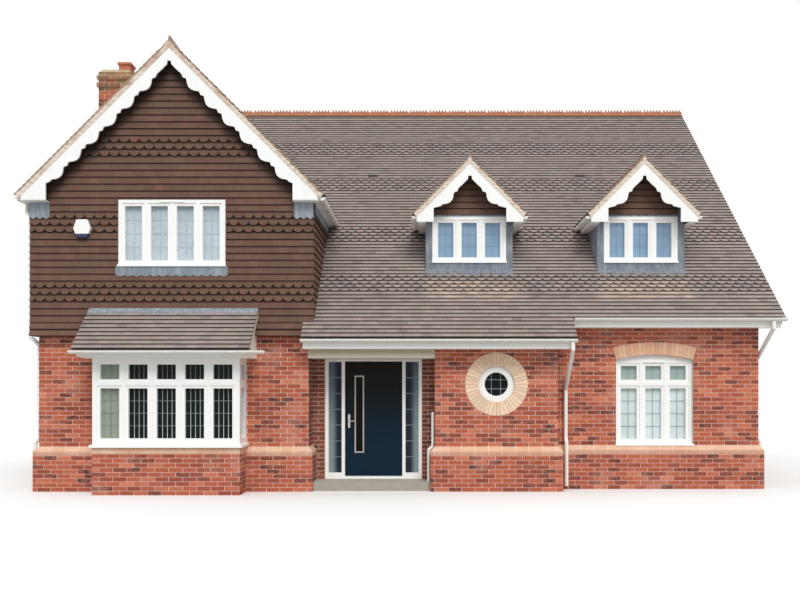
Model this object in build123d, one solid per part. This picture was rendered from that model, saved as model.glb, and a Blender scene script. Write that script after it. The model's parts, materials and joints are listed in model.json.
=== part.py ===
from build123d import *
import os
from math import cos, pi, radians, sin, tan

os.makedirs("parts", exist_ok=True)

# A detached brick house. Lengths are in millimetres.
# X runs along the front from left to right, Y from front to back, Z up from the ground.
# The origin is on the ground, under the main ridge, half way along it.

# Plan, from brick face to brick face
house_width = 12190
house_depth = 9640
front_step = 340
wing_width = 4510
porch_width = 2118
porch_depth = 450
cloakroom_width = 2064
wall_thick = 300
brick_thick = 102

# Levels
plinth_top = 750
plinth_out = 70
plinth_splay = 90
ground_floor_level = 150
upper_floor_level = 2700
upper_floor_thick = 250

# Roofs
roof_pitch = 45
mid_eave_level = 2592
roof_thick = 160
tile_thick = 42
mid_eave_out = 355
right_eave_out = 316
rear_eave_out = 316
verge_out = 295
mid_roof_lap = 70
mid_roof_past_step = 243
fascia_thick = 20
tile_past_fascia = 45
soffit_thick = 12
soffit_drop = 210
wing_eave_level = 4940
wing_eave_out = 145
wing_gable_out = 150
wing_soffit_drop = 120

# Tile hanging of the wing
hanging_level = 2590
hanging_out = 100
hanging_kick = 45
hanging_kick_height = 160

# Bargeboards
barge_thick = 30
barge_depth = 265
barge_cusp_depth = 217
barge_notch_depth = 192
barge_module = 411
barge_nick = 62
barge_top_gap = 75
barge_apex_slot = 28
barge_slot_drop = 255
barge_slot_sag = 30
barge_slot_flare = 9
barge_slot_run = 60
barge_first_cusp = 532
hollow_steps = 2
lobe_steps = 5
wing_foot_width = 410
wing_barge_in = 60
dormer_foot_width = 300
dormer_barge_in = 23

# Dormers
front_dormer_places = (1160, 4235)
rear_dormer_places = (-4235, 0, 4235)
dormer_body_width = 1560
dormer_cheek = 100
dormer_setback = 900
dormer_eave_level = 4832
dormer_eave_half = 963
dormer_soffit_drop = 178
dormer_gable_out = 250
dormer_roof_thick = 90
dormer_window_width = 1320
dormer_window_low = 3964
dormer_window_high = 4796

# Windows
frame_deep = 70
frame_wide = 58
sash_wide = 45
sash_step = 14
window_setback = 60
glass_thick = 6
wing_window_width = 1783
wing_window_low = 3745
wing_window_high = 4861
arch_window_shift = -31
arch_window_width = 1330
arch_window_low = 735
arch_window_spring = 2212
arch_rise = 88
arch_deep = 215
arch_skew = 36
transom_level = 1795
round_window_level = 1790
round_window_ring = 525
round_window_frame = 302
round_window_glass = 197
round_sides = 40
rear_window_places = (-4235, 4235)
rear_door_width = 1780
rear_door_high = 2212
side_window_place = 1400
side_window_width = 1330

# Box bay window
bay_shift = 34
bay_width = 2374
bay_out = 500
bay_wall = 200
bay_sill_low = 766
bay_sill_thick = 44
bay_sill_out = 40
bay_frame_top = 2210
bay_roof_width = 2810
bay_eave_out = 750
bay_eave_level = 2387
bay_roof_thick = 85
bay_fascia_width = 2710
bay_fascia_low = 2228
bay_gutter_right = 1636
bay_corner = 76
bay_columns = 5

# Gutters and downpipes
gutter_radius = 56
gutter_wall = 4
gutter_end = 30
gutter_sides = 8
pipe_radius = 34
pipe_sides = 12
pipe_off_wall = 18
pipe_neck = 115
pipe_over_plinth = 120
pipe_in = 180
rear_pipe_in = 120
side_pipe_in = 210
side_pipe_out = 120
pipe_foot = 60
porch_pipe_radius = 25
porch_pipe_off = 10
porch_pipe_in = 100
porch_pipe_top = 1320

# Lead sheet: over the tiles it is dressed down in small lobes
lead_on_wall = 16
lead_on_roof = 30
lead_lobe_steps = 3
wing_apron_past = 40
wing_apron_low = 3605
wing_apron_lobe = 28
wing_apron_lobes = 13
foot_lead_height = 240
foot_lead_lobes = 3
foot_lead_lobe = 35
side_lead_height = 150
dormer_apron = 118
dormer_apron_lobes = 8
dormer_apron_lobe = 16
bay_lead = 90

# Chimney
chimney_inset = 28
chimney_width = 627
chimney_depth = 660
chimney_setback = 2300
chimney_below_ridge = 137
chimney_band = 75
chimney_band_out = 28
chimney_flaunch = 60
flaunch_in = 40
flaunch_taper = 30
pot_aside = 108
pot_width = 225
pot_height = 210
pot_lip = 22
pot_wall = 25
pot_sides = 16

# Ridge tiles
ridge_tile_length = 457
ridge_tile_arm = 150
ridge_tile_thick = 18
crest_height = 80
crest_thick = 24
crest_points = 7

# Entrance
beam_low = 2224
beam_out = 18
porch_pier = 222
door_frame_high = 2224
door_frame_deep = 100
door_post = 55
door_width = 983
door_low = 200
door_high = 2180
door_thick = 50
door_setback = 130
door_gap = 8
slot_left_in = 180
slot_width = 120
slot_low = 620
slot_height = 1300
slot_trim = 22
handle_level = 1150
handle_in = 62
handle_out = 54
handle_plate_wide = 36
handle_plate_high = 240
handle_plate_thick = 8
handle_plate_bevel = 12
lever_thick = 18
lever_bevel = 4
lever_length = 118
hinge_levels = (400, 1190, 1980)
hinge_height = 100
hinge_radius = 7
hinge_pin = 4
hinge_play = 0.3
hinge_sides = 8
hinge_off = 8
hinge_plate = 3
hinge_plate_wide = 34

# Small fittings
alarm_from_middle = 1470
alarm_level = 4370
alarm_width = 280
alarm_height = 290
alarm_deep = 70
vent_places = (-720, 3610)
vent_level = 6167
vent_width = 190
vent_height = 70

# Worked out from the sizes above
slope = tan(radians(roof_pitch))
half_width = house_width / 2
half_depth = house_depth / 2
front_face = -half_depth - front_step
right_face = -half_depth
wing_right = -half_width + wing_width
wing_x = -half_width + wing_width / 2
porch_right = wing_right + porch_width
cloak_right = porch_right + cloakroom_width
porch_face = front_face + porch_depth
roof_drop = roof_thick / cos(radians(roof_pitch))
tile_drop = tile_thick / cos(radians(roof_pitch))
dormer_roof_drop = dormer_roof_thick / cos(radians(roof_pitch))
bay_roof_drop = bay_roof_thick / cos(radians(roof_pitch))
mid_eave = -front_face + mid_eave_out
ridge_level = mid_eave_level + slope * mid_eave
right_eave = half_depth + right_eave_out
rear_eave = half_depth + rear_eave_out
verge_x = half_width + verge_out
mid_roof_left = wing_right - mid_roof_lap
mid_roof_right = cloak_right + mid_roof_past_step
hanging_half = wing_width / 2 + hanging_out
hanging_face = front_face - hanging_out
wing_eave = hanging_half + wing_eave_out
wing_ridge_level = wing_eave_level + slope * wing_eave
wing_soffit = wing_eave_level - wing_soffit_drop
wing_verge = hanging_face - wing_gable_out
wing_valley_end = -(ridge_level - wing_ridge_level) / slope - wing_eave
dormer_face = -front_face - dormer_setback
dormer_ridge_level = dormer_eave_level + slope * dormer_eave_half
dormer_soffit = dormer_eave_level - dormer_soffit_drop
dormer_verge = -dormer_face - dormer_gable_out
bay_middle = wing_x + bay_shift
arch_middle = (cloak_right + half_width) / 2 + arch_window_shift
round_window_x = (porch_right + cloak_right) / 2
porch_middle = (wing_right + porch_right) / 2
door_frame_left = wing_right + porch_pier
door_frame_right = porch_right - porch_pier
door_left = porch_middle - door_width / 2
door_right = porch_middle + door_width / 2
door_back = porch_face + door_setback
door_frame_front = door_back - door_frame_deep
beam_high = mid_eave_level - soffit_drop - soffit_thick
chimney_front = front_face + chimney_setback
chimney_top = ridge_level - chimney_below_ridge
far = 2 * house_width


def main_top(y):
    """Level of the main roof's tiles at a distance y from under the ridge."""
    return ridge_level - slope * abs(y)


def block(x, y, z):
    """A box between a low and a high value on each axis."""
    centre = Pos((x[0] + x[1]) / 2, (y[0] + y[1]) / 2, (z[0] + z[1]) / 2)
    return centre * Box(x[1] - x[0], y[1] - y[0], z[1] - z[0])


def run_x(points, x):
    """An outline in y and z, carried from one x to another."""
    face = make_face(Polyline(*[(x[0], y, z) for y, z in points], close=True))
    return extrude(face, amount=x[1] - x[0], dir=(1, 0, 0))


def run_y(points, y):
    """An outline in x and z, carried from one y to another."""
    face = make_face(Polyline(*[(x, y[0], z) for x, z in points], close=True))
    return extrude(face, amount=y[1] - y[0], dir=(0, 1, 0))


def under_main(drop, x, y):
    """Everything under the main roof's tiles, less a drop."""
    points = [(y[0], 0), (y[0], main_top(y[0]) - drop)]
    if y[0] < 0 < y[1]:
        points.append((0, ridge_level - drop))
    points += [(y[1], main_top(y[1]) - drop), (y[1], 0)]
    return run_x(points, x)


def under_gable(middle, ridge, drop, half, y):
    """Everything under a small roof whose ridge runs front to back."""
    edge = ridge - drop - slope * half
    points = [
        (middle - half, 0),
        (middle - half, edge),
        (middle, ridge - drop),
        (middle + half, edge),
        (middle + half, 0),
    ]
    return run_y(points, y)


def slope_outline(ridge, drop, edge, soffit_level):
    """Half a roof's section, from the ridge out to the eave, as distances and levels."""
    rafter_end = edge - tile_past_fascia - fascia_thick
    foot = max(soffit_level, ridge - drop - slope * rafter_end)
    notch = (ridge - drop - foot) / slope
    points = [
        (0, ridge),
        (edge, ridge - slope * edge),
        (edge, ridge - slope * edge - tile_drop),
        (rafter_end, ridge - slope * rafter_end - tile_drop),
        (rafter_end, foot),
    ]
    if notch < rafter_end - 1:
        points.append((notch, foot))
    points.append((0, ridge - drop))
    return points


def wing_cut(drop, y):
    """The room inside the wing, under its roof, out to its tile hanging."""
    return under_gable(wing_x, wing_ridge_level, drop, hanging_half, y)


def dormer_cut(drop, half):
    """The body of one front dormer at x = 0, back to the ridge line."""
    return under_gable(0, dormer_ridge_level, drop, half, (-dormer_face, 0))


def at_dormers(piece, front=True):
    """A copy of one front dormer's piece at each dormer of one slope."""
    if front:
        return [Pos(x, 0, 0) * piece for x in front_dormer_places]
    return [Rot(0, 0, 180) * Pos(-x, 0, 0) * piece for x in rear_dormer_places]


def save(name, *pieces):
    """One sub-part's file, from its separate solids."""
    solids = [solid for piece in pieces for solid in piece.solids()]
    export_step(Compound(children=solids), f"parts/{name}.step")


# Chimney, needed by the roofs, floors and left wall

def chimney_solids():
    left = -half_width + chimney_inset
    x = (left, left + chimney_width)
    y = (chimney_front, chimney_front + chimney_depth)
    stack = block(x, y, (0, chimney_top))
    for band in (1, 3):
        high = chimney_top - band * chimney_band
        grown = [(low - chimney_band_out, top + chimney_band_out) for low, top in (x, y)]
        stack += block(grown[0], grown[1], (high - chimney_band, high))
    middle = Pos((x[0] + x[1]) / 2, (y[0] + y[1]) / 2, chimney_top)
    flaunch = middle * extrude(
        Rectangle(chimney_width - flaunch_in, chimney_depth - flaunch_in),
        amount=chimney_flaunch, taper=flaunch_taper,
    )
    pot_base = chimney_top + chimney_flaunch
    place = Pos((x[0] + x[1]) / 2 + pot_aside, (y[0] + y[1]) / 2, pot_base)
    pot = extrude(Rectangle(pot_width, pot_width), amount=pot_height)
    lip = Pos(0, 0, pot_height - 45) * extrude(
        Rectangle(pot_width + 2 * pot_lip, pot_width + 2 * pot_lip), amount=45
    )
    bore = extrude(RegularPolygon(pot_width / 2 - pot_wall, pot_sides), amount=pot_height)
    return stack + flaunch, place * (pot + lip - bore)


chimney, pot = chimney_solids()
save("chimney_stack", chimney)
save("chimney_pot", pot)


# Roofs

def main_slope(x, edge, soffit_level):
    points = slope_outline(ridge_level, roof_drop, edge, soffit_level)
    return run_x([(-distance, level) for distance, level in points], x)


def soffit_of(edge, drop=soffit_drop):
    return main_top(edge) - drop


front_slope = main_slope((-verge_x, verge_x), right_eave, soffit_of(right_eave))
front_slope += main_slope((mid_roof_left, mid_roof_right), mid_eave, soffit_of(mid_eave))
front_slope -= wing_cut(roof_drop, (hanging_face, 0))
front_slope -= block((-far, wing_x - hanging_half), (-far, wing_valley_end), (0, far))
front_slope -= block((-far, mid_roof_left), (-far, hanging_face), (0, far))
dormer_body = dormer_cut(dormer_roof_drop, dormer_body_width / 2)
for body in at_dormers(dormer_body):
    front_slope -= body
front_slope -= chimney

rear_points = slope_outline(ridge_level, roof_drop, rear_eave, soffit_of(rear_eave))
rear_slope = run_x(rear_points, (-verge_x, verge_x))
for body in at_dormers(dormer_body, front=False):
    rear_slope -= body

below_main = under_main(0, (-far, far), (-house_depth, 0))


def gable_slab(middle, ridge, drop, edge, soffit_level, y):
    """Both slopes of a small roof, cut where it dies into the main roof."""
    half = slope_outline(ridge, drop, edge, soffit_level)
    right = [(middle + distance, level) for distance, level in half]
    left = [(middle - distance, level) for distance, level in reversed(half[1:-1])]
    return run_y(right + left, y) - below_main


wing_roof = gable_slab(
    wing_x, wing_ridge_level, roof_drop, wing_eave, wing_soffit, (wing_verge + barge_thick, 0)
)
wing_roof -= chimney
dormer_roof = gable_slab(
    0, dormer_ridge_level, dormer_roof_drop, dormer_eave_half, dormer_soffit,
    (dormer_verge + barge_thick, 0),
)

save("main_roof_front", front_slope)
save("main_roof_rear", rear_slope)
save("wing_roof", wing_roof)
save("front_dormer_roofs", *at_dormers(dormer_roof))
save("rear_dormer_roofs", *at_dormers(dormer_roof, front=False))


# Ridge tiles: an angled cap with a row of points along its top

def ridge_tiles(length, ridge, points=crest_points):
    """A run of crested ridge tiles along X from x = 0, over a ridge at y = 0."""
    reach = ridge_tile_arm * cos(radians(roof_pitch))
    cap = [
        (-reach, ridge - slope * reach),
        (0, ridge),
        (reach, ridge - slope * reach),
        (reach, ridge - slope * reach + ridge_tile_thick / cos(radians(roof_pitch))),
        (0, ridge + ridge_tile_thick / cos(radians(roof_pitch))),
        (-reach, ridge - slope * reach + ridge_tile_thick / cos(radians(roof_pitch))),
    ]
    tiles = run_x(cap, (0, length))
    count = max(1, round(length / ridge_tile_length))
    step = length / count / points
    base = ridge + ridge_tile_thick
    outline = [(0, base)]
    for point in range(count * points):
        outline.append((step * point, base + crest_height * 0.55))
        outline.append((step * (point + 0.5), base + crest_height))
    outline += [(length, base + crest_height * 0.55), (length, base)]
    crest = run_y(outline, (-crest_thick / 2, crest_thick / 2))
    return tiles + crest


def ridge_along_y(middle, ridge, y, points=crest_points):
    tiles = Pos(middle, y[1], 0) * Rot(0, 0, -90) * ridge_tiles(y[1] - y[0], ridge, points)
    return tiles - below_main


main_ridge = Pos(-verge_x, 0, 0) * ridge_tiles(2 * verge_x, ridge_level)
wing_ridge_end = -(ridge_level - wing_ridge_level) / slope
wing_ridge = ridge_along_y(wing_x, wing_ridge_level, (wing_verge, wing_ridge_end))
dormer_ridge_end = -(ridge_level - dormer_ridge_level) / slope
dormer_ridge = ridge_along_y(0, dormer_ridge_level, (dormer_verge, dormer_ridge_end), 1)
save(
    "ridge_tiles", main_ridge, wing_ridge,
    *at_dormers(dormer_ridge), *at_dormers(dormer_ridge, front=False),
)


# Walls

under_tiles = under_main(roof_drop, (-far, far), (-house_depth, house_depth))
under_wing = under_gable(wing_x, wing_ridge_level, roof_drop, hanging_half, (hanging_face, 0))
under_roofs = under_tiles + under_wing


def wall(x, y):
    """A wall from the ground to above the roof, to be trimmed under it."""
    return block(x, y, (0, ridge_level))


def plinth_section(length):
    """The projecting foot of a wall along X, its top splayed, standing out to -Y."""
    points = [
        (0, 0), (-plinth_out, 0), (-plinth_out, plinth_top - plinth_splay), (0, plinth_top)
    ]
    return run_x(points, (0, length))


def plinth(start, end):
    """A plinth from one corner to the next, standing out to the right of that direction."""
    run = Vector(end[0] - start[0], end[1] - start[1])
    turn = Vector(1, 0).get_signed_angle(run, Vector(0, 0, 1))
    return Pos(start[0], start[1], 0) * Rot(0, 0, turn) * plinth_section(run.length)


def arch_outline(middle, half, spring, rise, low):
    """An opening with a segmental head, as edges in x and z."""
    corners = [(middle - half, spring), (middle - half, low), (middle + half, low),
               (middle + half, spring)]
    straight = [Line((a[0], 0, a[1]), (b[0], 0, b[1])) for a, b in zip(corners, corners[1:])]
    head = ThreePointArc(
        (middle + half, 0, spring), (middle, 0, spring + rise), (middle - half, 0, spring)
    )
    return Face(Wire([*straight, head]))


def arch_hole(middle, half, spring, rise, low, y):
    outline = Pos(0, y[0], 0) * arch_outline(middle, half, spring, rise, low)
    return extrude(outline, amount=y[1] - y[0], dir=(0, 1, 0))


def arch_ring(middle, y):
    """The brick arch over an arched window, with splayed ends."""
    half = arch_window_width / 2
    radius = (half * half + arch_rise * arch_rise) / (2 * arch_rise)
    centre = arch_window_spring + arch_rise - radius
    outer = radius + arch_deep
    wide = half + arch_skew
    inner = radius
    reach = arch_deep * 3
    wedge = [
        (0, centre),
        (-wide * (outer + reach) / inner, centre + (outer + reach)),
        (wide * (outer + reach) / inner, centre + (outer + reach)),
    ]
    ring = Circle(outer) - Circle(inner)
    solid = Pos(0, y[1], centre) * Rot(90, 0, 0) * extrude(ring, amount=y[1] - y[0])
    solid &= run_y(wedge, y)
    return Pos(middle, 0, 0) * solid


wing_wall = wall((-half_width, wing_right), (front_face, front_face + wall_thick)) & under_wing
wing_wall += plinth((-half_width, front_face), (wing_right, front_face))
wing_window_x = (wing_x - wing_window_width / 2, wing_x + wing_window_width / 2)
through_front = (-far, front_face + wall_thick + 1)
wing_wall -= block(wing_window_x, through_front, (wing_window_low, wing_window_high))
bay_x = (bay_middle - bay_width / 2, bay_middle + bay_width / 2)
bay_inside = (bay_x[0] + bay_wall, bay_x[1] - bay_wall)
wing_wall -= block(bay_inside, through_front, (ground_floor_level, bay_frame_top))
wing_wall -= block(bay_x, (-far, front_face), (0, far))

left_wall = wall((-half_width, -half_width + wall_thick),
                 (front_face + wall_thick, half_depth - wall_thick)) & under_roofs
left_wall += plinth((-half_width, half_depth), (-half_width, front_face))
right_wall = wall((half_width - wall_thick, half_width),
                  (right_face + wall_thick, half_depth - wall_thick)) & under_tiles
right_wall += plinth((half_width, right_face), (half_width, half_depth))
rear_wall = wall((-half_width, half_width), (half_depth - wall_thick, half_depth)) & under_tiles
rear_wall += plinth((half_width, half_depth), (-half_width, half_depth))

flank_back = -(ridge_level - wing_ridge_level) / slope - wing_width / 2
flank_wall = wall((wing_right - wall_thick, wing_right), (front_face + wall_thick, flank_back))
flank_wall &= under_wing
flank_wall -= block((-far, far), (-far, far), (0, upper_floor_level))
below_slab = under_main(roof_drop, (-far, far), (-far / 4, 0))

cloak_wall = wall((porch_right, cloak_right), (front_face, front_face + wall_thick)) & under_tiles
cloak_wall += wall((cloak_right - wall_thick, cloak_right), (front_face + wall_thick, right_face)) \
    & under_tiles
cloak_wall += plinth((porch_right, front_face), (cloak_right, front_face))
cloak_wall += plinth((cloak_right, front_face), (cloak_right, right_face - plinth_out))
round_place = Pos(round_window_x, front_face, round_window_level) * Rot(-90, 0, 0)


def disc(radius):
    """A round outline with enough sides to look round."""
    return RegularPolygon(radius, round_sides)


cloak_wall -= round_place * extrude(disc(round_window_ring), amount=brick_thick)
cloak_wall -= round_place * extrude(disc(round_window_frame), amount=wall_thick)

right_front = wall((cloak_right - wall_thick, half_width), (right_face, right_face + wall_thick))
right_front &= under_tiles
right_front += plinth((cloak_right, right_face), (half_width, right_face))


def arch_opening(middle, face):
    """An arched window's way through a wall along X that faces -Y."""
    y = (face - plinth_out - 1, face + wall_thick + 1)
    hole = arch_hole(middle, arch_window_width / 2, arch_window_spring, arch_rise,
                     arch_window_low, y)
    return hole + arch_ring(middle, (face - 1, face + brick_thick))


def turned(piece, side):
    """A piece of a wall that faces -Y, turned to face the rear, the right or the left."""
    return Rot(0, 0, {"rear": 180, "right": 90, "left": -90}[side]) * piece


right_front -= arch_opening(arch_middle, right_face)
for x in rear_window_places:
    rear_wall -= turned(arch_opening(-x, right_face), "rear")
rear_door_x = (-rear_door_width / 2, rear_door_width / 2)
rear_wall -= block(rear_door_x, (0, far), (ground_floor_level, rear_door_high))
right_wall -= turned(arch_opening(side_window_place, -half_width), "right")
left_wall -= turned(arch_opening(-side_window_place, -half_width), "left")
side_high_x = (-side_window_width / 2, side_window_width / 2)
high_hole = block(side_high_x, (-half_width - 1, -half_width + wall_thick + 1),
                  (dormer_window_low, dormer_window_high))
right_wall -= turned(Pos(side_window_place, 0, 0) * high_hole, "right")
left_wall -= turned(Pos(-side_window_place, 0, 0) * high_hole, "left")
left_wall -= chimney

porch_x = (wing_right, porch_right)
lintel = wall(porch_x, (front_face, front_face + wall_thick)) & under_tiles
lintel -= block((-far, far), (-far, far), (0, beam_high))
beam = block(porch_x, (front_face - beam_out, porch_face), (beam_low, beam_high))

upper_floor_low = upper_floor_level - upper_floor_thick
porch_back = porch_face + wall_thick


def porch_side(outer, inner, edge):
    """One side of the porch: its return and the strip beside the door frame."""
    low, high = sorted((outer, inner))
    strip_low, strip_high = sorted((inner, edge))
    side = block((low, high), (front_face + wall_thick, porch_back), (0, upper_floor_low))
    return side + block((strip_low, strip_high), (porch_face, porch_back), (0, upper_floor_low))


porch_left = porch_side(wing_right - wall_thick, wing_right, door_frame_left)
porch_right_side = porch_side(porch_right + wall_thick, porch_right, door_frame_right)
left_return = plinth((wing_right, front_face - plinth_out), (wing_right, porch_face))
right_return = plinth((porch_right, porch_face), (porch_right, front_face - plinth_out))
porch_head = block((door_frame_left, door_frame_right), (porch_face, porch_back),
                   (door_frame_high, upper_floor_low))
beam -= porch_head

save("wing_front_wall", wing_wall)
save("wing_flank_wall", flank_wall)
save("left_wall", left_wall)
save("right_wall", right_wall)
save("rear_wall", rear_wall)
save("cloakroom_wall", cloak_wall)
save("right_front_wall", right_front)
save("porch_lintel", lintel)
save("porch_beam", beam)
save("porch_left_wall", porch_left, left_return)
save("porch_right_wall", porch_right_side, right_return)
save("porch_head_wall", porch_head)


# Floors

def inside_block(z):
    """The space between the walls, without the porch, between two levels."""
    left = -half_width + wall_thick
    right = half_width - wall_thick
    space = block((left, right), (right_face + wall_thick, half_depth - wall_thick), z)
    front = front_face + wall_thick
    return space + block((left, cloak_right - wall_thick), (front, right_face + wall_thick), z)


ground_floor = inside_block((0, ground_floor_level))
ground_floor += block(bay_inside, (front_face - bay_out + bay_wall, front_face + wall_thick),
                      (0, ground_floor_level))
for piece in (porch_left, porch_right_side, chimney, wing_wall):
    ground_floor -= piece
ground_floor -= block(porch_x, (-far, porch_back), (0, far))
threshold = block((door_frame_left, door_frame_right), (porch_face, porch_back),
                  (0, ground_floor_level))
ground_floor += threshold
porch_step = block(porch_x, (front_face, porch_face), (0, ground_floor_level))
porch_step -= left_return + right_return
upper_floor = inside_block((upper_floor_low, upper_floor_level)) - chimney
save("ground_floor", ground_floor)
save("porch_step", porch_step)
save("upper_floor", upper_floor)


# Tile hanging

def hanging_front():
    skin = under_wing & block((-far, far), (hanging_face, front_face), (hanging_level, far))
    skin -= block(wing_window_x, (-far, far), (wing_window_low, wing_window_high))
    return skin


def kick_x(x, y_face, side):
    """The flared foot of tile hanging along X."""
    points = [(y_face, hanging_level), (y_face + side * hanging_kick, hanging_level),
              (y_face, hanging_level + hanging_kick_height)]
    return run_x(points, x)


front_hanging = hanging_front()
front_hanging += kick_x((wing_x - hanging_half, wing_x + hanging_half), hanging_face, -1)
front_hanging -= front_slope
side_y = (front_face, flank_back)
left_hanging = under_wing & block((wing_x - hanging_half, -half_width), side_y,
                                  (hanging_level, far))
right_hanging = under_wing & block((wing_right, wing_x + hanging_half), side_y,
                                   (hanging_level, far))
right_hanging -= below_slab
right_hanging -= front_slope
save("wing_tile_hanging_front", front_hanging)
save("wing_tile_hanging_sides", left_hanging - front_slope - wing_roof, right_hanging)


# Bargeboards

def rake_edge(reach):
    """The scalloped lower edge of one rake, as points along it and below its top edge."""

    def hollow(cusp, side):
        """The small round bite beside a cusp, from the cusp outwards."""
        bites = []
        for step in range(1, hollow_steps + 1):
            share = step / hollow_steps
            deep = barge_cusp_depth + (barge_notch_depth - barge_cusp_depth) * share ** 0.5
            bites.append((cusp + side * barge_nick * share, deep))
        return bites

    def lobe(start, end):
        """The long round lobe between two bites."""
        bulge = barge_depth - barge_notch_depth
        shares = [step / lobe_steps for step in range(1, lobe_steps)]
        return [(start + (end - start) * share, barge_notch_depth + bulge * sin(pi * share))
                for share in shares]

    points = list(reversed(hollow(barge_first_cusp, -1)))
    cusp = barge_first_cusp
    while cusp + barge_module < reach:
        points.append((cusp, barge_cusp_depth))
        points += hollow(cusp, 1)
        points += lobe(cusp + barge_nick, cusp + barge_module - barge_nick)
        cusp += barge_module
        points += reversed(hollow(cusp, -1))
    points.append((cusp, barge_cusp_depth))
    return points


def bargeboard(apex_level, half, foot_low, foot_width, y):
    """A pair of scalloped boards under a gable's verge, in one plane."""
    angle = radians(roof_pitch)

    def at(along, deep):
        """A point so far down the rake from the apex and so deep below its top edge."""
        across = along * cos(angle) - deep * sin(angle)
        return across, apex_level - along * sin(angle) - deep * cos(angle)

    inner = half - foot_width
    edge = [at(along, deep) for along, deep in rake_edge(
        (inner + barge_cusp_depth * sin(angle)) / cos(angle) + barge_nick)]
    slot_level = apex_level - barge_slot_drop
    start = edge[0]
    flare = [(barge_apex_slot, slot_level),
             (barge_apex_slot + barge_slot_flare, slot_level - barge_slot_run),
             ((barge_apex_slot + start[0]) / 2, (slot_level + start[1]) / 2 - barge_slot_sag)]
    outline = flare + edge
    last = outline[-1]
    outline[-1] = (inner, last[1])
    outline += [(inner, foot_low), (half, foot_low), (half, apex_level - slope * half)]
    right = [(0, slot_level)] + outline + [(0, apex_level)]
    rake = run_y(right, y)
    return rake + mirror(rake, about=Plane.YZ)


wing_barge = Pos(wing_x, 0, 0) * bargeboard(
    wing_ridge_level - barge_top_gap, wing_eave - wing_barge_in, wing_soffit, wing_foot_width,
    (wing_verge, wing_verge + barge_thick),
)
dormer_barge = bargeboard(
    dormer_ridge_level - barge_top_gap, dormer_eave_half - dormer_barge_in, dormer_soffit,
    dormer_foot_width, (dormer_verge, dormer_verge + barge_thick),
)
save("wing_bargeboard", wing_barge)
save("dormer_bargeboards", *at_dormers(dormer_barge), *at_dormers(dormer_barge, front=False))


# Dormer walls

def dormer_walls():
    shell = dormer_cut(dormer_roof_drop, dormer_body_width / 2)
    half = dormer_body_width / 2 - dormer_cheek
    shell -= block((-half, half), (-dormer_face + dormer_cheek, 1), (0, far))
    shell -= under_main(roof_drop, (-far, far), (-house_depth, 1))
    window = dormer_window_width / 2
    shell -= block((-window, window), (-dormer_face - 1, -dormer_face + dormer_cheek + 1),
                   (dormer_window_low, dormer_window_high))
    return shell


dormer_wall = dormer_walls()
save("front_dormer_walls", *at_dormers(dormer_wall))
save("rear_dormer_walls", *at_dormers(dormer_wall, front=False))


# Windows

def window(width, low, high, columns, rows, y, head=0):
    """A casement frame centred on x = 0, its sashes stepped back, facing -Y."""
    half = width / 2
    if head:
        frame = arch_hole(0, half, high, head, low, (y, y + frame_deep))
    else:
        frame = block((-half, half), (y, y + frame_deep), (low, high))
    step = (width - frame_wide) / columns
    for column in range(columns):
        left = -half + frame_wide + column * step
        right = left + step - frame_wide
        for bottom, top in rows:
            rim = block((left, right), (y, y + sash_step), (bottom, top))
            pane = block((left + sash_wide, right - sash_wide), (y, y + frame_deep),
                         (bottom + sash_wide, top - sash_wide))
            frame -= rim
            frame -= pane
    return frame


def window_glass(width, low, high, y):
    """One sheet of glass let into a window's frame."""
    inset = frame_wide / 2
    back = y + frame_deep
    return block((-width / 2 + inset, width / 2 - inset), (back, back + glass_thick),
                 (low + inset, high - inset))


wing_window = Pos(wing_x, 0, 0) * window(
    wing_window_width, wing_window_low, wing_window_high, 4,
    [(wing_window_low + frame_wide, wing_window_high - frame_wide)], hanging_face,
)
arch_rows = [(arch_window_low + frame_wide, transom_level - frame_wide / 2),
             (transom_level + frame_wide / 2, arch_window_spring - frame_wide)]


def arch_window(face):
    return window(arch_window_width, arch_window_low, arch_window_spring, 3, arch_rows,
                  face + window_setback, arch_rise)


def arch_glass(face):
    return window_glass(arch_window_width, arch_window_low, arch_window_spring,
                        face + window_setback)


high_rows = [(dormer_window_low + frame_wide, dormer_window_high - frame_wide)]
dormer_window = window(dormer_window_width, dormer_window_low, dormer_window_high, 3,
                       high_rows, -dormer_face)
dormer_glass = window_glass(dormer_window_width, dormer_window_low, dormer_window_high,
                            -dormer_face)
side_high = window(side_window_width, dormer_window_low, dormer_window_high, 3, high_rows,
                   -half_width + window_setback)
side_high_glass = window_glass(side_window_width, dormer_window_low, dormer_window_high,
                               -half_width + window_setback)
door_rows = [(ground_floor_level + frame_wide, rear_door_high - frame_wide)]
rear_door = window(rear_door_width, ground_floor_level, rear_door_high, 2, door_rows,
                   right_face + window_setback)
rear_door_glass = window_glass(rear_door_width, ground_floor_level, rear_door_high,
                               right_face + window_setback)


def other_sides(low_piece, high_piece, rear_piece, at_low=-half_width):
    """Copies on the rear and side walls: rear windows and door, side windows on two storeys."""
    pieces = [turned(Pos(-x, 0, 0) * rear_piece, "rear") for x in rear_window_places]
    for side, place in (("right", side_window_place), ("left", -side_window_place)):
        pieces.append(turned(Pos(place, 0, 0) * low_piece, side))
        if high_piece:
            pieces.append(turned(Pos(place, 0, 0) * high_piece, side))
    return pieces


other_frames = other_sides(arch_window(-half_width), side_high, arch_window(right_face))
other_frames.append(turned(rear_door, "rear"))
other_glass = other_sides(arch_glass(-half_width), side_high_glass, arch_glass(right_face))
other_glass.append(turned(rear_door_glass, "rear"))


def arch_at(face):
    return arch_ring(0, (face, face + brick_thick))


other_arches = other_sides(arch_at(-half_width), None, arch_at(right_face))
save("wing_window_frame", wing_window)
save("right_window_frame", Pos(arch_middle, 0, 0) * arch_window(right_face))
save("dormer_window_frames", *at_dormers(dormer_window), *at_dormers(dormer_window, front=False))
save("rear_and_side_frames", *other_frames)
save("window_arches", Pos(arch_middle, 0, 0) * arch_at(right_face), *other_arches)

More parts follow.
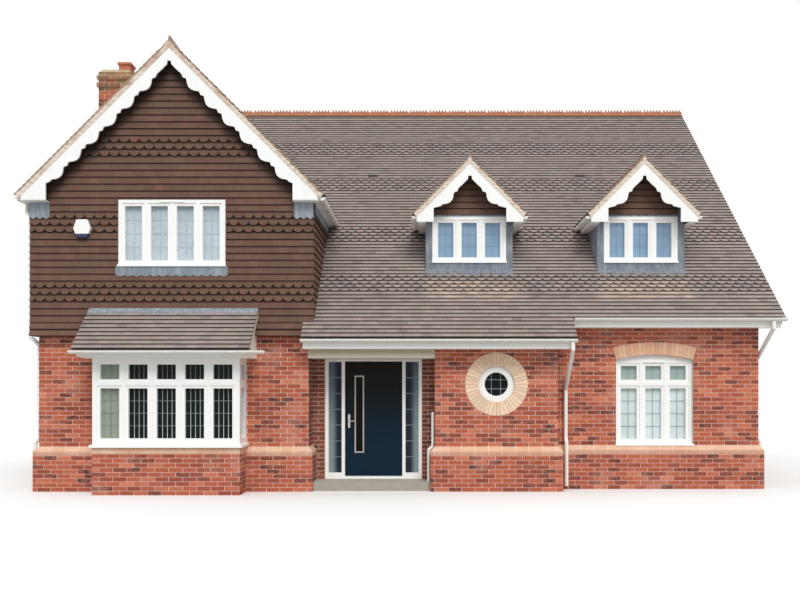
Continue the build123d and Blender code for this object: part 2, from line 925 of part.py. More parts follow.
ring = extrude(disc(round_window_ring) - disc(round_window_frame), amount=brick_thick)
round_frame = extrude(disc(round_window_frame) - disc(round_window_glass), amount=frame_deep)
round_glass = Pos(0, 0, frame_deep) * extrude(
    disc((round_window_glass + round_window_frame) / 2), amount=glass_thick
)
set_back = Pos(0, 0, window_setback / 2)
save("round_window_surround", round_place * ring)
save("round_window_frame", round_place * set_back * round_frame)


# Box bay window

def bay_shape(out, wide, inner, z):
    """A U on plan in front of the wing's wall: a front and two returns."""
    front = front_face - bay_out - out
    x = (bay_x[0] - out, bay_x[1] + out)
    outer = block(x, (front, front_face), z)
    hole = block((bay_x[0] + inner, bay_x[1] - inner),
                 (front_face - bay_out + inner, front_face), z)
    return outer - hole


bay_base = bay_shape(0, 0, bay_wall, (0, bay_sill_low))
bay_sill = bay_shape(bay_sill_out, 0, frame_deep, (bay_sill_low, bay_sill_low + bay_sill_thick))
bay_low = bay_sill_low + bay_sill_thick
bay_frame = bay_shape(0, 0, frame_deep, (bay_low, bay_frame_top)) + bay_sill
bay_front = front_face - bay_out
bay_rows = [(bay_low + frame_wide, transom_level - frame_wide / 2),
            (transom_level + frame_wide / 2, bay_frame_top - frame_wide)]
bay_step = (bay_width - 2 * bay_corner + frame_wide) / bay_columns
for column in range(bay_columns):
    left = bay_x[0] + bay_corner + column * bay_step
    for low, high in bay_rows:
        bay_frame -= block((left, left + bay_step - frame_wide),
                           (bay_front, bay_front + sash_step), (low, high))
        bay_frame -= block((left + sash_wide, left + bay_step - frame_wide - sash_wide),
                           (bay_front, bay_front + frame_deep),
                           (low + sash_wide, high - sash_wide))
for low, high in bay_rows:
    light = (bay_front + bay_corner + sash_wide, front_face - frame_wide - sash_wide)
    bay_frame -= block((-far, far), light, (low + sash_wide, high - sash_wide))

bay_half = bay_roof_width / 2
bay_eave = hanging_face - (bay_eave_out - hanging_out)
bay_ridge = bay_eave_level + slope * (hanging_face - bay_eave)
bay_fascia_face = bay_eave + tile_past_fascia
bay_rafter_end = bay_fascia_face + fascia_thick
bay_rafter_top = bay_eave_level + slope * (bay_rafter_end - bay_eave)
bay_lean = [
    (bay_eave, bay_eave_level),
    (hanging_face, bay_ridge),
    (hanging_face, bay_ridge - bay_roof_drop),
    (bay_rafter_end, bay_rafter_top - bay_roof_drop),
    (bay_rafter_end, bay_rafter_top - tile_drop),
    (bay_eave, bay_eave_level - tile_drop),
]
bay_cheek = [
    (bay_fascia_face, bay_fascia_low),
    (bay_fascia_face, bay_rafter_top - bay_roof_drop),
    (bay_rafter_end, bay_rafter_top - bay_roof_drop),
    (hanging_face, bay_ridge - bay_roof_drop),
    (hanging_face, hanging_level),
    (front_face, hanging_level),
    (front_face, bay_frame_top),
    (bay_front - bay_sill_out, bay_frame_top),
    (bay_front - bay_sill_out, bay_fascia_low),
]
bay_roof = run_x(bay_lean, (bay_middle - bay_half, bay_middle + bay_half))
bay_roof -= front_hanging
fascia_half = bay_fascia_width / 2
bay_box = run_x(bay_cheek, (bay_middle - fascia_half, bay_middle + fascia_half))
bay_hollow = run_x(bay_cheek, (bay_middle - fascia_half + 20, bay_middle + fascia_half - 20))
bay_hollow &= block((-far, far), (bay_rafter_end, far), (bay_fascia_low + soffit_thick, far))
bay_box -= bay_hollow
bay_box -= front_hanging
save("bay_base", bay_base)
save("bay_window_frame", bay_frame)
save("bay_roof", bay_roof)
save("bay_soffit", bay_box)
bay_glass = block((bay_x[0] + bay_corner, bay_x[1] - bay_corner),
                  (bay_front + frame_deep, bay_front + frame_deep + glass_thick),
                  (bay_low + frame_wide / 2, bay_frame_top - frame_wide / 2))
side_light = (bay_front + frame_deep + glass_thick, front_face - frame_wide / 2)
bay_side_glass = [
    block((x, x + glass_thick), side_light,
          (bay_low + frame_wide / 2, bay_frame_top - frame_wide / 2))
    for x in (bay_x[0] + frame_deep, bay_x[1] - frame_deep - glass_thick)
]


# Eaves boards and gutters

def eave_boards(edge, wall_face, soffit_level, top_level, x):
    """A fascia and a soffit along X for an eave at y = -edge."""
    front = -edge + tile_past_fascia
    fascia = block(x, (front, front + fascia_thick), (soffit_level - soffit_thick, top_level))
    soffit = block(x, (front + fascia_thick, wall_face),
                   (soffit_level - soffit_thick, soffit_level))
    return fascia + soffit


def fascia_top(edge):
    return main_top(edge - tile_past_fascia) - tile_drop


def half_round(radius):
    """The lower half of a circle, as y and z points."""
    angles = [pi * step / gutter_sides for step in range(gutter_sides + 1)]
    return [(-radius * cos(angle), -radius * sin(angle)) for angle in angles]


def gutter(length):
    """A half-round channel along X from x = 0, its back at y = 0 and its rim at z = 0."""
    trough = run_x(half_round(gutter_radius), (0, length))
    trough -= run_x(half_round(gutter_radius - gutter_wall),
                    (gutter_wall, length - gutter_wall))
    return Pos(0, -gutter_radius, 0) * trough


mid_x = (mid_roof_left + 20, mid_roof_right - 20)
right_x = (mid_roof_right, verge_x - 20)
boards = [
    eave_boards(mid_eave, front_face, soffit_of(mid_eave), fascia_top(mid_eave), mid_x),
    eave_boards(right_eave, right_face, soffit_of(right_eave), fascia_top(right_eave), right_x),
    turned(eave_boards(rear_eave, right_face, soffit_of(rear_eave), fascia_top(rear_eave),
                       (-verge_x + 20, verge_x - 20)), "rear"),
]
boards[0] -= front_hanging
gutter_drop = tile_drop + 10


def gutter_at(edge, x, level):
    return Pos(x[0], -edge + tile_past_fascia, level) * gutter(x[1] - x[0])


gutters = [
    gutter_at(mid_eave, (mid_x[0] - gutter_end, mid_x[1] + gutter_end),
              main_top(mid_eave) - gutter_drop),
    gutter_at(right_eave, (right_x[0] + gutter_end, right_x[1] + gutter_end * 2),
              main_top(right_eave) - gutter_drop),
    turned(gutter_at(rear_eave, (-verge_x, verge_x), main_top(rear_eave) - gutter_drop), "rear"),
]
bay_gutter_x = (bay_middle - bay_fascia_width / 2 - gutter_end * 3, bay_middle + bay_gutter_right)
gutters.append(
    Pos(bay_gutter_x[0], bay_fascia_face, bay_eave_level - gutter_drop)
    * gutter(bay_gutter_x[1] - bay_gutter_x[0])
)


def side_eaves(middle, edge, face, ridge, soffit_level, y, gutter_level):
    """Fascias, soffits and gutters of both eaves of a gable that faces the front."""
    top = ridge - slope * (edge - tile_past_fascia) - tile_drop
    near = face
    out = edge - tile_past_fascia
    fascia = block((out - fascia_thick, out), y, (soffit_level - soffit_thick, top))
    soffit = block((near, out - fascia_thick), y, (soffit_level - soffit_thick, soffit_level))
    board = (fascia + soffit) - below_main
    trough = Pos(out, y[0], gutter_level) * Rot(0, 0, 90) * gutter(y[1] - y[0])
    trough -= below_main
    both = []
    for piece in (board, trough):
        both.append([Pos(middle, 0, 0) * piece,
                     Pos(middle, 0, 0) * mirror(piece, about=Plane.YZ)])
    return both


wing_level = wing_eave_level - gutter_drop
wing_boards, wing_gutters = side_eaves(
    wing_x, wing_eave, hanging_half, wing_ridge_level, wing_soffit,
    (wing_verge + barge_thick, wing_valley_end), wing_level,
)
dormer_level = dormer_eave_level - gutter_drop
dormer_back = -(ridge_level - dormer_ridge_level) / slope - dormer_eave_half
dormer_boards, dormer_gutters = side_eaves(
    0, dormer_eave_half, dormer_body_width / 2, dormer_ridge_level, dormer_soffit,
    (dormer_verge + barge_thick, dormer_back), dormer_level,
)
boards += wing_boards
foot_in = wing_eave - wing_barge_in - wing_foot_width
foot_board = block((foot_in, hanging_half), (wing_verge + barge_thick, hanging_face),
                   (wing_soffit - soffit_thick, wing_soffit))
boards.append(Pos(wing_x, 0, 0) * foot_board)
boards.append(Pos(wing_x, 0, 0) * mirror(foot_board, about=Plane.YZ))
for board in dormer_boards:
    boards += at_dormers(board)
    boards += at_dormers(board, front=False)
gutters += wing_gutters
for trough in dormer_gutters:
    gutters += at_dormers(trough)
    gutters += at_dormers(trough, front=False)
save("eaves_boards", *boards)
save("gutters", *gutters)


# Glass

front_low_glass = [
    bay_glass, *bay_side_glass,
    Pos(arch_middle, 0, 0) * arch_glass(right_face),
    round_place * set_back * round_glass,
]
front_high_glass = [
    Pos(wing_x, 0, 0) * window_glass(wing_window_width, wing_window_low, wing_window_high,
                                     hanging_face),
    *at_dormers(dormer_glass),
]
save("upper_front_glass", *front_high_glass)
save("rear_and_side_glass", *other_glass, *at_dormers(dormer_glass, front=False))


# Entrance

def door_frame():
    """The frame in the porch: a door's opening between two side lights."""
    y = (door_frame_front, door_back)
    frame = block((door_frame_left, door_frame_right), y, (ground_floor_level, door_frame_high))
    opening = (door_left - door_gap, door_right + door_gap)
    frame -= block(opening, y, (door_low - door_gap, door_high + door_gap))
    lights = ((door_frame_left + door_post, opening[0] - door_post),
              (opening[1] + door_post, door_frame_right - door_post))
    for light in lights:
        frame -= block(light, y, (door_low + door_post, door_high))
    return frame, lights


frame, lights = door_frame()
side_light_glass = [
    block(light, (door_frame_front + 40, door_frame_front + 40 + glass_thick),
          (door_low + door_post, door_high))
    for light in lights
]
leaf_y = (door_back - door_thick, door_back)
leaf = block((door_left, door_right), leaf_y, (door_low, door_high))
slot_x = (door_left + slot_left_in, door_left + slot_left_in + slot_width)
slot_z = (slot_low, slot_low + slot_height)
leaf -= block(slot_x, leaf_y, slot_z)
middle_y = (leaf_y[0] + leaf_y[1]) / 2
slot_glass = block(slot_x, (middle_y - glass_thick, middle_y + glass_thick), slot_z)


def slot_rim(y):
    grown_x = (slot_x[0] - slot_trim, slot_x[1] + slot_trim)
    grown_z = (slot_z[0] - slot_trim, slot_z[1] + slot_trim)
    return block(grown_x, y, grown_z) - block(slot_x, y, slot_z)


trim = [slot_rim((leaf_y[0] - 6, leaf_y[0])), slot_rim((leaf_y[1], leaf_y[1] + 6))]


def handle(side):
    """A lever on a long plate, on the outer face for side -1 and the inner for side 1."""
    face = leaf_y[0] if side < 0 else leaf_y[1]
    x = door_left + handle_in
    plate = Pos(x, face + side * handle_plate_thick / 2, handle_level) * Box(
        handle_plate_wide, handle_plate_thick, handle_plate_high
    )
    plate = chamfer(plate.edges().filter_by(Axis.Y), handle_plate_bevel)
    reach = side * (handle_out - lever_thick / 2)
    neck = Pos(x, face, handle_level) * Rot(90, 0, 0) * extrude(
        RegularPolygon(lever_thick / 2, hinge_sides), amount=-reach
    )
    low, high = sorted((face + side * (handle_out - lever_thick), face + side * handle_out))
    half = lever_thick / 2
    lever = block((x - half, x + lever_length), (low, high),
                  (handle_level - half, handle_level + half))
    lever = chamfer(lever.edges().filter_by(Axis.X), lever_bevel)
    return plate + neck + lever


hinge_x = door_right + door_gap / 2
hinge_y = door_back + hinge_off


def barrel(z, radius):
    """A stretch of a hinge's round knuckle or pin."""
    outline = RegularPolygon(radius, hinge_sides)
    return Pos(hinge_x, hinge_y, z[0]) * extrude(outline, amount=z[1] - z[0])


def hinge(level):
    """A butt hinge: the frame's half with its pin, and the leaf's half round the pin."""
    low, high = level - hinge_height / 2, level + hinge_height / 2
    third = hinge_height / 3
    ends = ((low, low + third - hinge_play), (high - third + hinge_play, high))
    middle = (low + third + hinge_play, high - third - hinge_play)
    back = (door_back, door_back + hinge_plate)
    fixed = barrel((low, high), hinge_pin)
    for z in ends:
        fixed += barrel(z, hinge_radius)
        fixed += block((hinge_x, hinge_x + hinge_radius), (door_back, hinge_y), z)
        fixed += block((hinge_x + hinge_radius, hinge_x + hinge_plate_wide), back, z)
    fixed += block((hinge_x + hinge_radius + 1, hinge_x + hinge_plate_wide), back, (low, high))
    moving = barrel(middle, hinge_radius)
    moving += block((hinge_x - hinge_radius, hinge_x), (door_back, hinge_y), middle)
    moving += block((hinge_x - hinge_plate_wide, hinge_x - hinge_radius - 1), back, (low, high))
    moving += block((hinge_x - hinge_radius - 1, hinge_x - hinge_radius), back, middle)
    bore = RegularPolygon(hinge_pin + hinge_play, hinge_sides, major_radius=False)
    moving -= Pos(hinge_x, hinge_y, middle[0]) * extrude(bore, amount=hinge_height)
    return fixed, moving


hinges = [hinge(level) for level in hinge_levels]
save("door_frame", frame)
save("ground_front_glass", *front_low_glass, *side_light_glass)
save("front_door", leaf)
save("door_glass", slot_glass)
save("door_trim", *trim)
save("door_handles", handle(-1), handle(1))
save("hinge_frame_halves", *[fixed for fixed, moving in hinges])
save("hinge_door_halves", *[moving for fixed, moving in hinges])


# Small fittings

def alarm_box():
    half = alarm_width / 2
    high = alarm_height / 2
    points = [(-half * 0.62, high), (half * 0.62, high), (half, 0), (half * 0.62, -high),
              (-half * 0.62, -high), (-half, 0)]
    box = run_y(points, (hanging_face - alarm_deep, hanging_face))
    return Pos(wing_x - alarm_from_middle, 0, alarm_level) * box


def roof_vent(x):
    """A tile vent whose hood stands out of the front slope."""
    y = -(ridge_level - vent_level) / slope
    points = [(y, vent_level), (y - vent_height * 0.6, vent_level),
              (y - vent_height * 0.6, main_top(y - vent_height * 0.6))]
    return run_x(points, (x - vent_width / 2, x + vent_width / 2))


save("alarm_box", alarm_box())
save("roof_vents", *[roof_vent(x) for x in vent_places])


# Lead

def lobed_edge(left, right, level, lobes, deep):
    """Points from left to right along a lower edge of small round lobes."""
    pitch = (right - left) / lobes
    points = []
    for lobe in range(lobes):
        for step in range(lead_lobe_steps):
            share = step / lead_lobe_steps
            points.append((left + (lobe + share) * pitch, level - deep * sin(pi * share)))
    return points + [(right, level)]


def lead_on_front(x, top, low, lobes, deep):
    """A sheet on the face of the wing's tile hanging."""
    outline = [(x[1], top), (x[0], top)] + lobed_edge(x[0], x[1], low, lobes, deep)
    return run_y(outline, (hanging_face - lead_on_wall, hanging_face))


def dormer_lead():
    """The apron under a dormer's window, down the face and out over the tiles."""
    face = -dormer_face
    upright = face - lead_on_wall
    out = face - dormer_apron
    side = [(face, dormer_window_low), (upright, dormer_window_low),
            (upright, main_top(upright) + lead_on_roof), (out, main_top(out) + lead_on_roof),
            (out, main_top(out)), (face, main_top(face))]
    half = dormer_body_width / 2
    edge = lobed_edge(-half, half, out + dormer_apron_lobe, dormer_apron_lobes,
                      dormer_apron_lobe)
    plan = make_face(Polyline((half, face), (-half, face), *edge, close=True))
    return run_x(side, (-half, half)) & extrude(plan, amount=far)


wing_apron = lead_on_front(
    (wing_window_x[0] - wing_apron_past, wing_window_x[1] + wing_apron_past),
    wing_window_low, wing_apron_low, wing_apron_lobes, wing_apron_lobe,
)
lead_top = wing_soffit - soffit_thick
foot_lead = lead_on_front(
    (wing_x + foot_in, wing_x + hanging_half), lead_top, lead_top - foot_lead_height,
    foot_lead_lobes, foot_lead_lobe,
)
side_lead = block((wing_x + hanging_half, wing_x + hanging_half + lead_on_wall), side_y,
                  (lead_top - side_lead_height, lead_top)) - below_main
bay_lead_y = hanging_face - bay_lead
bay_sheet = run_x(
    [(hanging_face, bay_ridge), (hanging_face, bay_ridge + lead_on_roof),
     (bay_lead_y, bay_ridge - slope * bay_lead + lead_on_roof),
     (bay_lead_y, bay_ridge - slope * bay_lead)],
    (bay_middle - bay_half, bay_middle + bay_half),
)


def both_sides(piece):
    """A piece of the wing and its copy on the wing's other side."""
    return [piece, Pos(2 * wing_x, 0, 0) * mirror(piece, about=Plane.YZ)]


dormer_aprons = dormer_lead()
save(
    "lead_flashings", wing_apron, *both_sides(foot_lead), *both_sides(side_lead), bay_sheet,
    *at_dormers(dormer_aprons), *at_dormers(dormer_aprons, front=False),
)


# Downpipes

def pipe(radius, route):
    """A pipe along straight runs with mitred bends."""
    mouth = Plane(origin=route[0], z_dir=(0, 0, -1)) * RegularPolygon(radius, pipe_sides)
    return sweep(mouth, path=Polyline(*route), transition=Transition.RIGHT)


def downpipe(x, start, level, stretches):
    """A pipe facing -Y, from an outlet through stretches that stand at y down to a level."""
    route = [(x, start, level), (x, start, level - pipe_neck)]
    for y, low in stretches:
        route.append((x, y, route[-1][2] - abs(y - route[-1][1])))
        route.append((x, y, low))
    return pipe(pipe_radius, route)


def beside(face):
    """Where a pipe stands off a wall that faces -Y."""
    return face - pipe_off_wall - pipe_radius


def over_plinth(face):
    """The two stretches down a brick wall: beside the bricks, then past the plinth."""
    return [(beside(face), plinth_top + pipe_over_plinth), (beside(face) - plinth_out, pipe_foot)]


gutter_middle = tile_past_fascia - gutter_radius
mid_pipe = downpipe(cloak_right + pipe_in, gutter_middle - mid_eave,
                    main_top(mid_eave) - gutter_drop - gutter_radius, over_plinth(right_face))
rear_pipes = [
    turned(downpipe(x, gutter_middle - rear_eave,
                    main_top(rear_eave) - gutter_drop - gutter_radius,
                    over_plinth(right_face)), "rear")
    for x in (-half_width + rear_pipe_in, half_width - rear_pipe_in)
]
past_kick = -half_width - hanging_out - hanging_kick
left_pipe = turned(downpipe(
    -hanging_face - side_pipe_in, wing_x - wing_eave + gutter_middle, wing_level - gutter_radius,
    [(beside(past_kick), hanging_level), *over_plinth(-half_width)]), "left")
right_outlet = Vector(half_width + side_pipe_out, gutter_middle - right_eave,
                      main_top(right_eave) - gutter_drop - gutter_radius)
right_y = right_face + side_pipe_in
right_x_in = -beside(-half_width)
right_turn = right_outlet.Z - pipe_neck - abs(right_y - right_outlet.Y)
swan = plinth_top + pipe_over_plinth
right_pipe = pipe(pipe_radius, [
    tuple(right_outlet), (right_outlet.X, right_outlet.Y, right_outlet.Z - pipe_neck),
    (right_x_in, right_y, right_turn), (right_x_in, right_y, swan),
    (right_x_in + plinth_out, right_y, swan - plinth_out),
    (right_x_in + plinth_out, right_y, pipe_foot),
])
porch_pipe_x = porch_right - porch_pipe_off - porch_pipe_radius
porch_pipe_y = front_face + porch_pipe_in
porch_pipe = pipe(porch_pipe_radius, [
    (porch_pipe_x, porch_pipe_y, porch_pipe_top), (porch_pipe_x, porch_pipe_y, plinth_top),
    (porch_pipe_x - plinth_out, porch_pipe_y, plinth_top - plinth_out),
    (porch_pipe_x - plinth_out, porch_pipe_y, ground_floor_level),
])
save("downpipes", mid_pipe, *rear_pipes, left_pipe, right_pipe, porch_pipe)
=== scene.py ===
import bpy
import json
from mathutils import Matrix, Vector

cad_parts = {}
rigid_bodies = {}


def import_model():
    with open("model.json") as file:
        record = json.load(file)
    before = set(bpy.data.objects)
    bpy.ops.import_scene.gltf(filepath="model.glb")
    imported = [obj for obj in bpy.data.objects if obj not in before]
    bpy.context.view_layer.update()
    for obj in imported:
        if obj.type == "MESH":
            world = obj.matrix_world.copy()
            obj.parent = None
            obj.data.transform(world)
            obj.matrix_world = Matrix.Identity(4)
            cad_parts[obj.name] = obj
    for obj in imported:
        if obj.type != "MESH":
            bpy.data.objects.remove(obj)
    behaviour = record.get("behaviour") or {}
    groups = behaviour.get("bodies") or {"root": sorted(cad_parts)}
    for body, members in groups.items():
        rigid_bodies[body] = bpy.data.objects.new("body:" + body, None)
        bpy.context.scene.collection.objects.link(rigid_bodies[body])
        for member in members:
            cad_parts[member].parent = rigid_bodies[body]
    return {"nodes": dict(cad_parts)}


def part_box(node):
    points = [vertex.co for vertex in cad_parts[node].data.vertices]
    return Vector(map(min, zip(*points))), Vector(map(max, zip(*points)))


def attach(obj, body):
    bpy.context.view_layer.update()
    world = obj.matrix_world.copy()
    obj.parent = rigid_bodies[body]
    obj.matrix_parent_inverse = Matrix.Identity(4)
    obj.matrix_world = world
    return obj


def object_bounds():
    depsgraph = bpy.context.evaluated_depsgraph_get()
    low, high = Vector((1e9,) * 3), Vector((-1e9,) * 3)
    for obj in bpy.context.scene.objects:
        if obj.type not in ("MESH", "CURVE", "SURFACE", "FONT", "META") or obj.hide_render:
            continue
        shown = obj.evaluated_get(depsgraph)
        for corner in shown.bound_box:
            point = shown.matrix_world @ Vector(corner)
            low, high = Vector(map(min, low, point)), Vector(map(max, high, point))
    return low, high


bl_info = {
    "name": "Tile-hung brick house",
    "version": (1, 0, 0),
    "blender": (4, 5, 0),
    "location": "3D View > Sidebar > House",
    "description": "Bricks, tiles, leaded windows and finishes of a detached house",
    "category": "Object",
}

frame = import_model()
CAD_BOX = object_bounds()

import json
import math
import random
from collections import namedtuple

import bpy
from bpy.props import FloatProperty, FloatVectorProperty, PointerProperty
from bpy.types import Operator, Panel, PropertyGroup
from mathutils import Matrix, Vector

nodes = frame["nodes"]
ROOF_PITCH = math.radians(45)
FAR = 40.0

# Sizes of the house that its parts' boxes don't give
PLINTH_OUT = 0.070
PLINTH_TOP = 0.750
PLINTH_EDGE = 0.660
ROOF_SLAB = 0.226
TILE_LAYER = 0.0594
COURSE_RISE = 0.0707
EAVE_DROP = 0.06
RIDGE_CLEAR = 0.12
RIDGE_TILE = 0.457
DORMER_SLAB = 0.127
WING_FACE = -5.260
MID_EAVE_RIGHT = 2.840
FRAME_WIDE = 0.058
FRAME_DEEP = 0.070
SASH_WIDE = 0.045
LIGHT_WIDE = 0.44
LEAD_STEP = 0.235
TRANSOM = 1.795
ARCH_RISE = 0.088
ARCH_DEEP = 0.215
ARCH_HALF = 0.665
BAY_CORNER = 0.076
BAY_LIGHTS = 5
BAND_OUT = 0.028
BUFF_OUT = 0.008
BOARD_WIDE = 0.15

# Courses of ornamental tiles, counted up from the eave or the foot
ROOF_BANDS = ((12, 17), (27, 32), (45, 50), (60, 65))
HANGING_BANDS = ((5, 8), (15, 18), (26, 29))

# Where a finish changes: from left to right, from front to back and upwards
CURTAIN_RIGHT = -4.45
BAY_RIGHT = -2.0
PORCH_LEFT, PORCH_RIGHT = -1.6, 0.54
DIM_LEFT, DIM_RIGHT = -1.16, 0.12
SLOT_LEFT, SLOT_RIGHT = -0.9, -0.6
GLAZED_RIGHT = 0.5
ARCHED_LEFT = 3.0
FRONT_PART = -4.5
VERGE_FROM = 4.4
BEAM_PAINTED_SHADE = 2.255
UPPER_FLOOR = 3.0
NET_TOP = 4.62
VERGE_WORN = 7.0
BARGE_SHADE = 0.64
LICHEN_FOOT, LICHEN_CAP = 7.55, 7.8
MAIN_RIDGE = 7.8
RIDGE_BED, RIDGE_SHADOW_TOP, RIDGE_PALE = 8.060, 8.114, 8.13

# The camera, fitted to the photo
CAMERA_AT = (0.35, -18.06, 1.74)
CAMERA_LENS = 34.65
CAMERA_SHIFT = (-0.030, 0.109)




def paint(red, green, blue):
    """A colour as a screen shows it, from 0 to 255, in the linear form that shaders take."""
    return tuple(
        part / 255 / 12.92 if part <= 10 else ((part / 255 + 0.055) / 1.055) ** 2.4
        for part in (red, green, blue)
    )


def length_value(name, description, default):
    return FloatProperty(name=name, description=description, default=default, unit="LENGTH")


def colour_value(name, description, default):
    return FloatVectorProperty(
        name=name, description=description, default=default, subtype="COLOR", size=3,
        min=0, max=1,
    )


# Sizes and colours that a user would change

class HouseSizes(PropertyGroup):
    brick_long: length_value("Brick length", "Length of a brick's face", 0.215)
    brick_high: length_value("Brick height", "Height of a brick's face", 0.065)
    joint: length_value("Joint", "Width of the mortar joints", 0.010)
    brick_proud: length_value("Brick relief", "How far bricks stand out of the mortar", 0.005)
    brick_deep: length_value("Brick depth", "How far the bricks reach into the wall", 0.008)
    roof_gauge: length_value("Roof gauge", "Exposed height of a roof tile", 0.100)
    roof_tile_wide: length_value("Roof tile width", "Width of a roof tile with its joint", 0.165)
    hanging_gauge: length_value("Hanging gauge", "Exposed height of a hanging tile", 0.115)
    hanging_wide: length_value("Hanging width", "Width of a hanging tile with its joint", 0.165)
    tile_thick: length_value("Tile thickness", "Thickness of a tile", 0.014)
    roof_proud: length_value("Roof relief", "Height of a tile's lower edge over the slab", 0.020)
    hanging_proud: length_value("Hanging relief", "The same on the tile-hung walls", 0.016)
    verge: length_value("Verge", "How far tiles run past the mortar of a verge", 0.040)
    tile_long: length_value("Tile length", "Length of a tile", 0.165)
    tile_gap: length_value("Tile gap", "Gap between two tiles of a course", 0.002)
    tile_round: length_value("Tile rounding", "Radius of an ornamental tile's corners", 0.074)
    lead_wide: length_value("Lead width", "Width of the leads on the glass", 0.010)
    bracket_step: length_value("Bracket step", "Distance between gutter brackets", 0.9)


class HouseColours(PropertyGroup):
    brick_light: colour_value("Light brick", "Palest bricks", paint(212, 130, 100))
    brick_red: colour_value("Red brick", "Most of the bricks", paint(190, 102, 76))
    brick_brown: colour_value("Brown brick", "Darker bricks", paint(162, 85, 68))
    brick_dark: colour_value("Burnt brick", "Blue-grey bricks", paint(92, 68, 64))
    mortar: colour_value("Mortar", "Mortar between the bricks", paint(246, 218, 202))
    buff: colour_value("Buff brick", "Arches, ring and plinth", paint(234, 194, 162))
    roof_tile: colour_value("Roof tile", "Weathered roof tiles", paint(146, 134, 128))
    hanging_tile: colour_value("Hanging tile", "Brown hanging tiles", paint(107, 80, 68))
    terracotta: colour_value("Terracotta", "Ridge tiles and pot", paint(212, 132, 74))
    white_board: colour_value("White board", "Boards and window frames", paint(250, 250, 248))
    lead: colour_value("Lead", "Lead sheet", paint(126, 135, 145))
    door: colour_value("Door", "Front door", paint(8, 34, 52))


def sizes():
    return bpy.context.scene.house_sizes


def colours():
    return bpy.context.scene.house_colours


# Shaders, written as sums

def sum_of(operation, turned=False):
    """What a Wire does at a sign in a sum: it adds a Math node."""
    def add_node(self, other):
        return self.finish.maths(operation, *((other, self) if turned else (self, other)))
    return add_node


class Wire:
    """One value in a material, which can be added, multiplied and compared."""

    def __init__(self, finish, socket):
        self.finish = finish
        self.socket = socket

    __add__ = __radd__ = sum_of("ADD")
    __sub__ = sum_of("SUBTRACT")
    __rsub__ = sum_of("SUBTRACT", turned=True)
    __mul__ = __rmul__ = sum_of("MULTIPLY")
    __truediv__ = sum_of("DIVIDE")
    __rtruediv__ = sum_of("DIVIDE", turned=True)
    __gt__ = sum_of("GREATER_THAN")
    __lt__ = sum_of("LESS_THAN")


class Shading:
    """A node tree while its nodes are being made."""

    def __init__(self, tree):
        self.tree = tree

    def node(self, kind, settings=(), inputs=(), output=0):
        made = self.tree.nodes.new("ShaderNode" + kind)
        for key, value in dict(settings).items():
            if key == "stops":
                self.fill_ramp(made.color_ramp, value)
            else:
                setattr(made, key, value)
        for key, value in dict(inputs).items():
            self.feed(made.inputs[key], value)
        return Wire(self, made.outputs[output])

    def feed(self, socket, value):
        if isinstance(value, Wire):
            self.tree.links.new(value.socket, socket)
        elif hasattr(value, "__len__") and len(value) == 3 and len(socket.default_value) == 4:
            socket.default_value = (*value, 1)
        else:
            socket.default_value = value

    @staticmethod
    def fill_ramp(ramp, stops):
        while len(ramp.elements) < len(stops):
            ramp.elements.new(0.5)
        for element, (place, colour) in zip(ramp.elements, stops):
            element.position = place
            element.color = (*colour, 1)

    def maths(self, operation, *values):
        return self.node("Math", {"operation": operation}, dict(enumerate(values)))

    def clamp(self, value):
        """A value kept between 0 and 1."""
        return self.maths("MINIMUM", self.maths("MAXIMUM", value, 0.0), 1.0)

    def mix(self, share, low, high, way="MIX"):
        return self.node("Mix", {"data_type": "RGBA", "blend_type": way},
                         {0: share, 6: low, 7: high}, output=2)

    def backdrop(self):
        """1 where the background itself is seen, straight, in a mirror or through a pane."""
        camera, mirror, pane = [self.node("LightPath", output=f"Is {kind} Ray")
                                for kind in ("Camera", "Glossy", "Transmission")]
        return self.maths("MAXIMUM", camera, self.maths("MAXIMUM", mirror, pane))


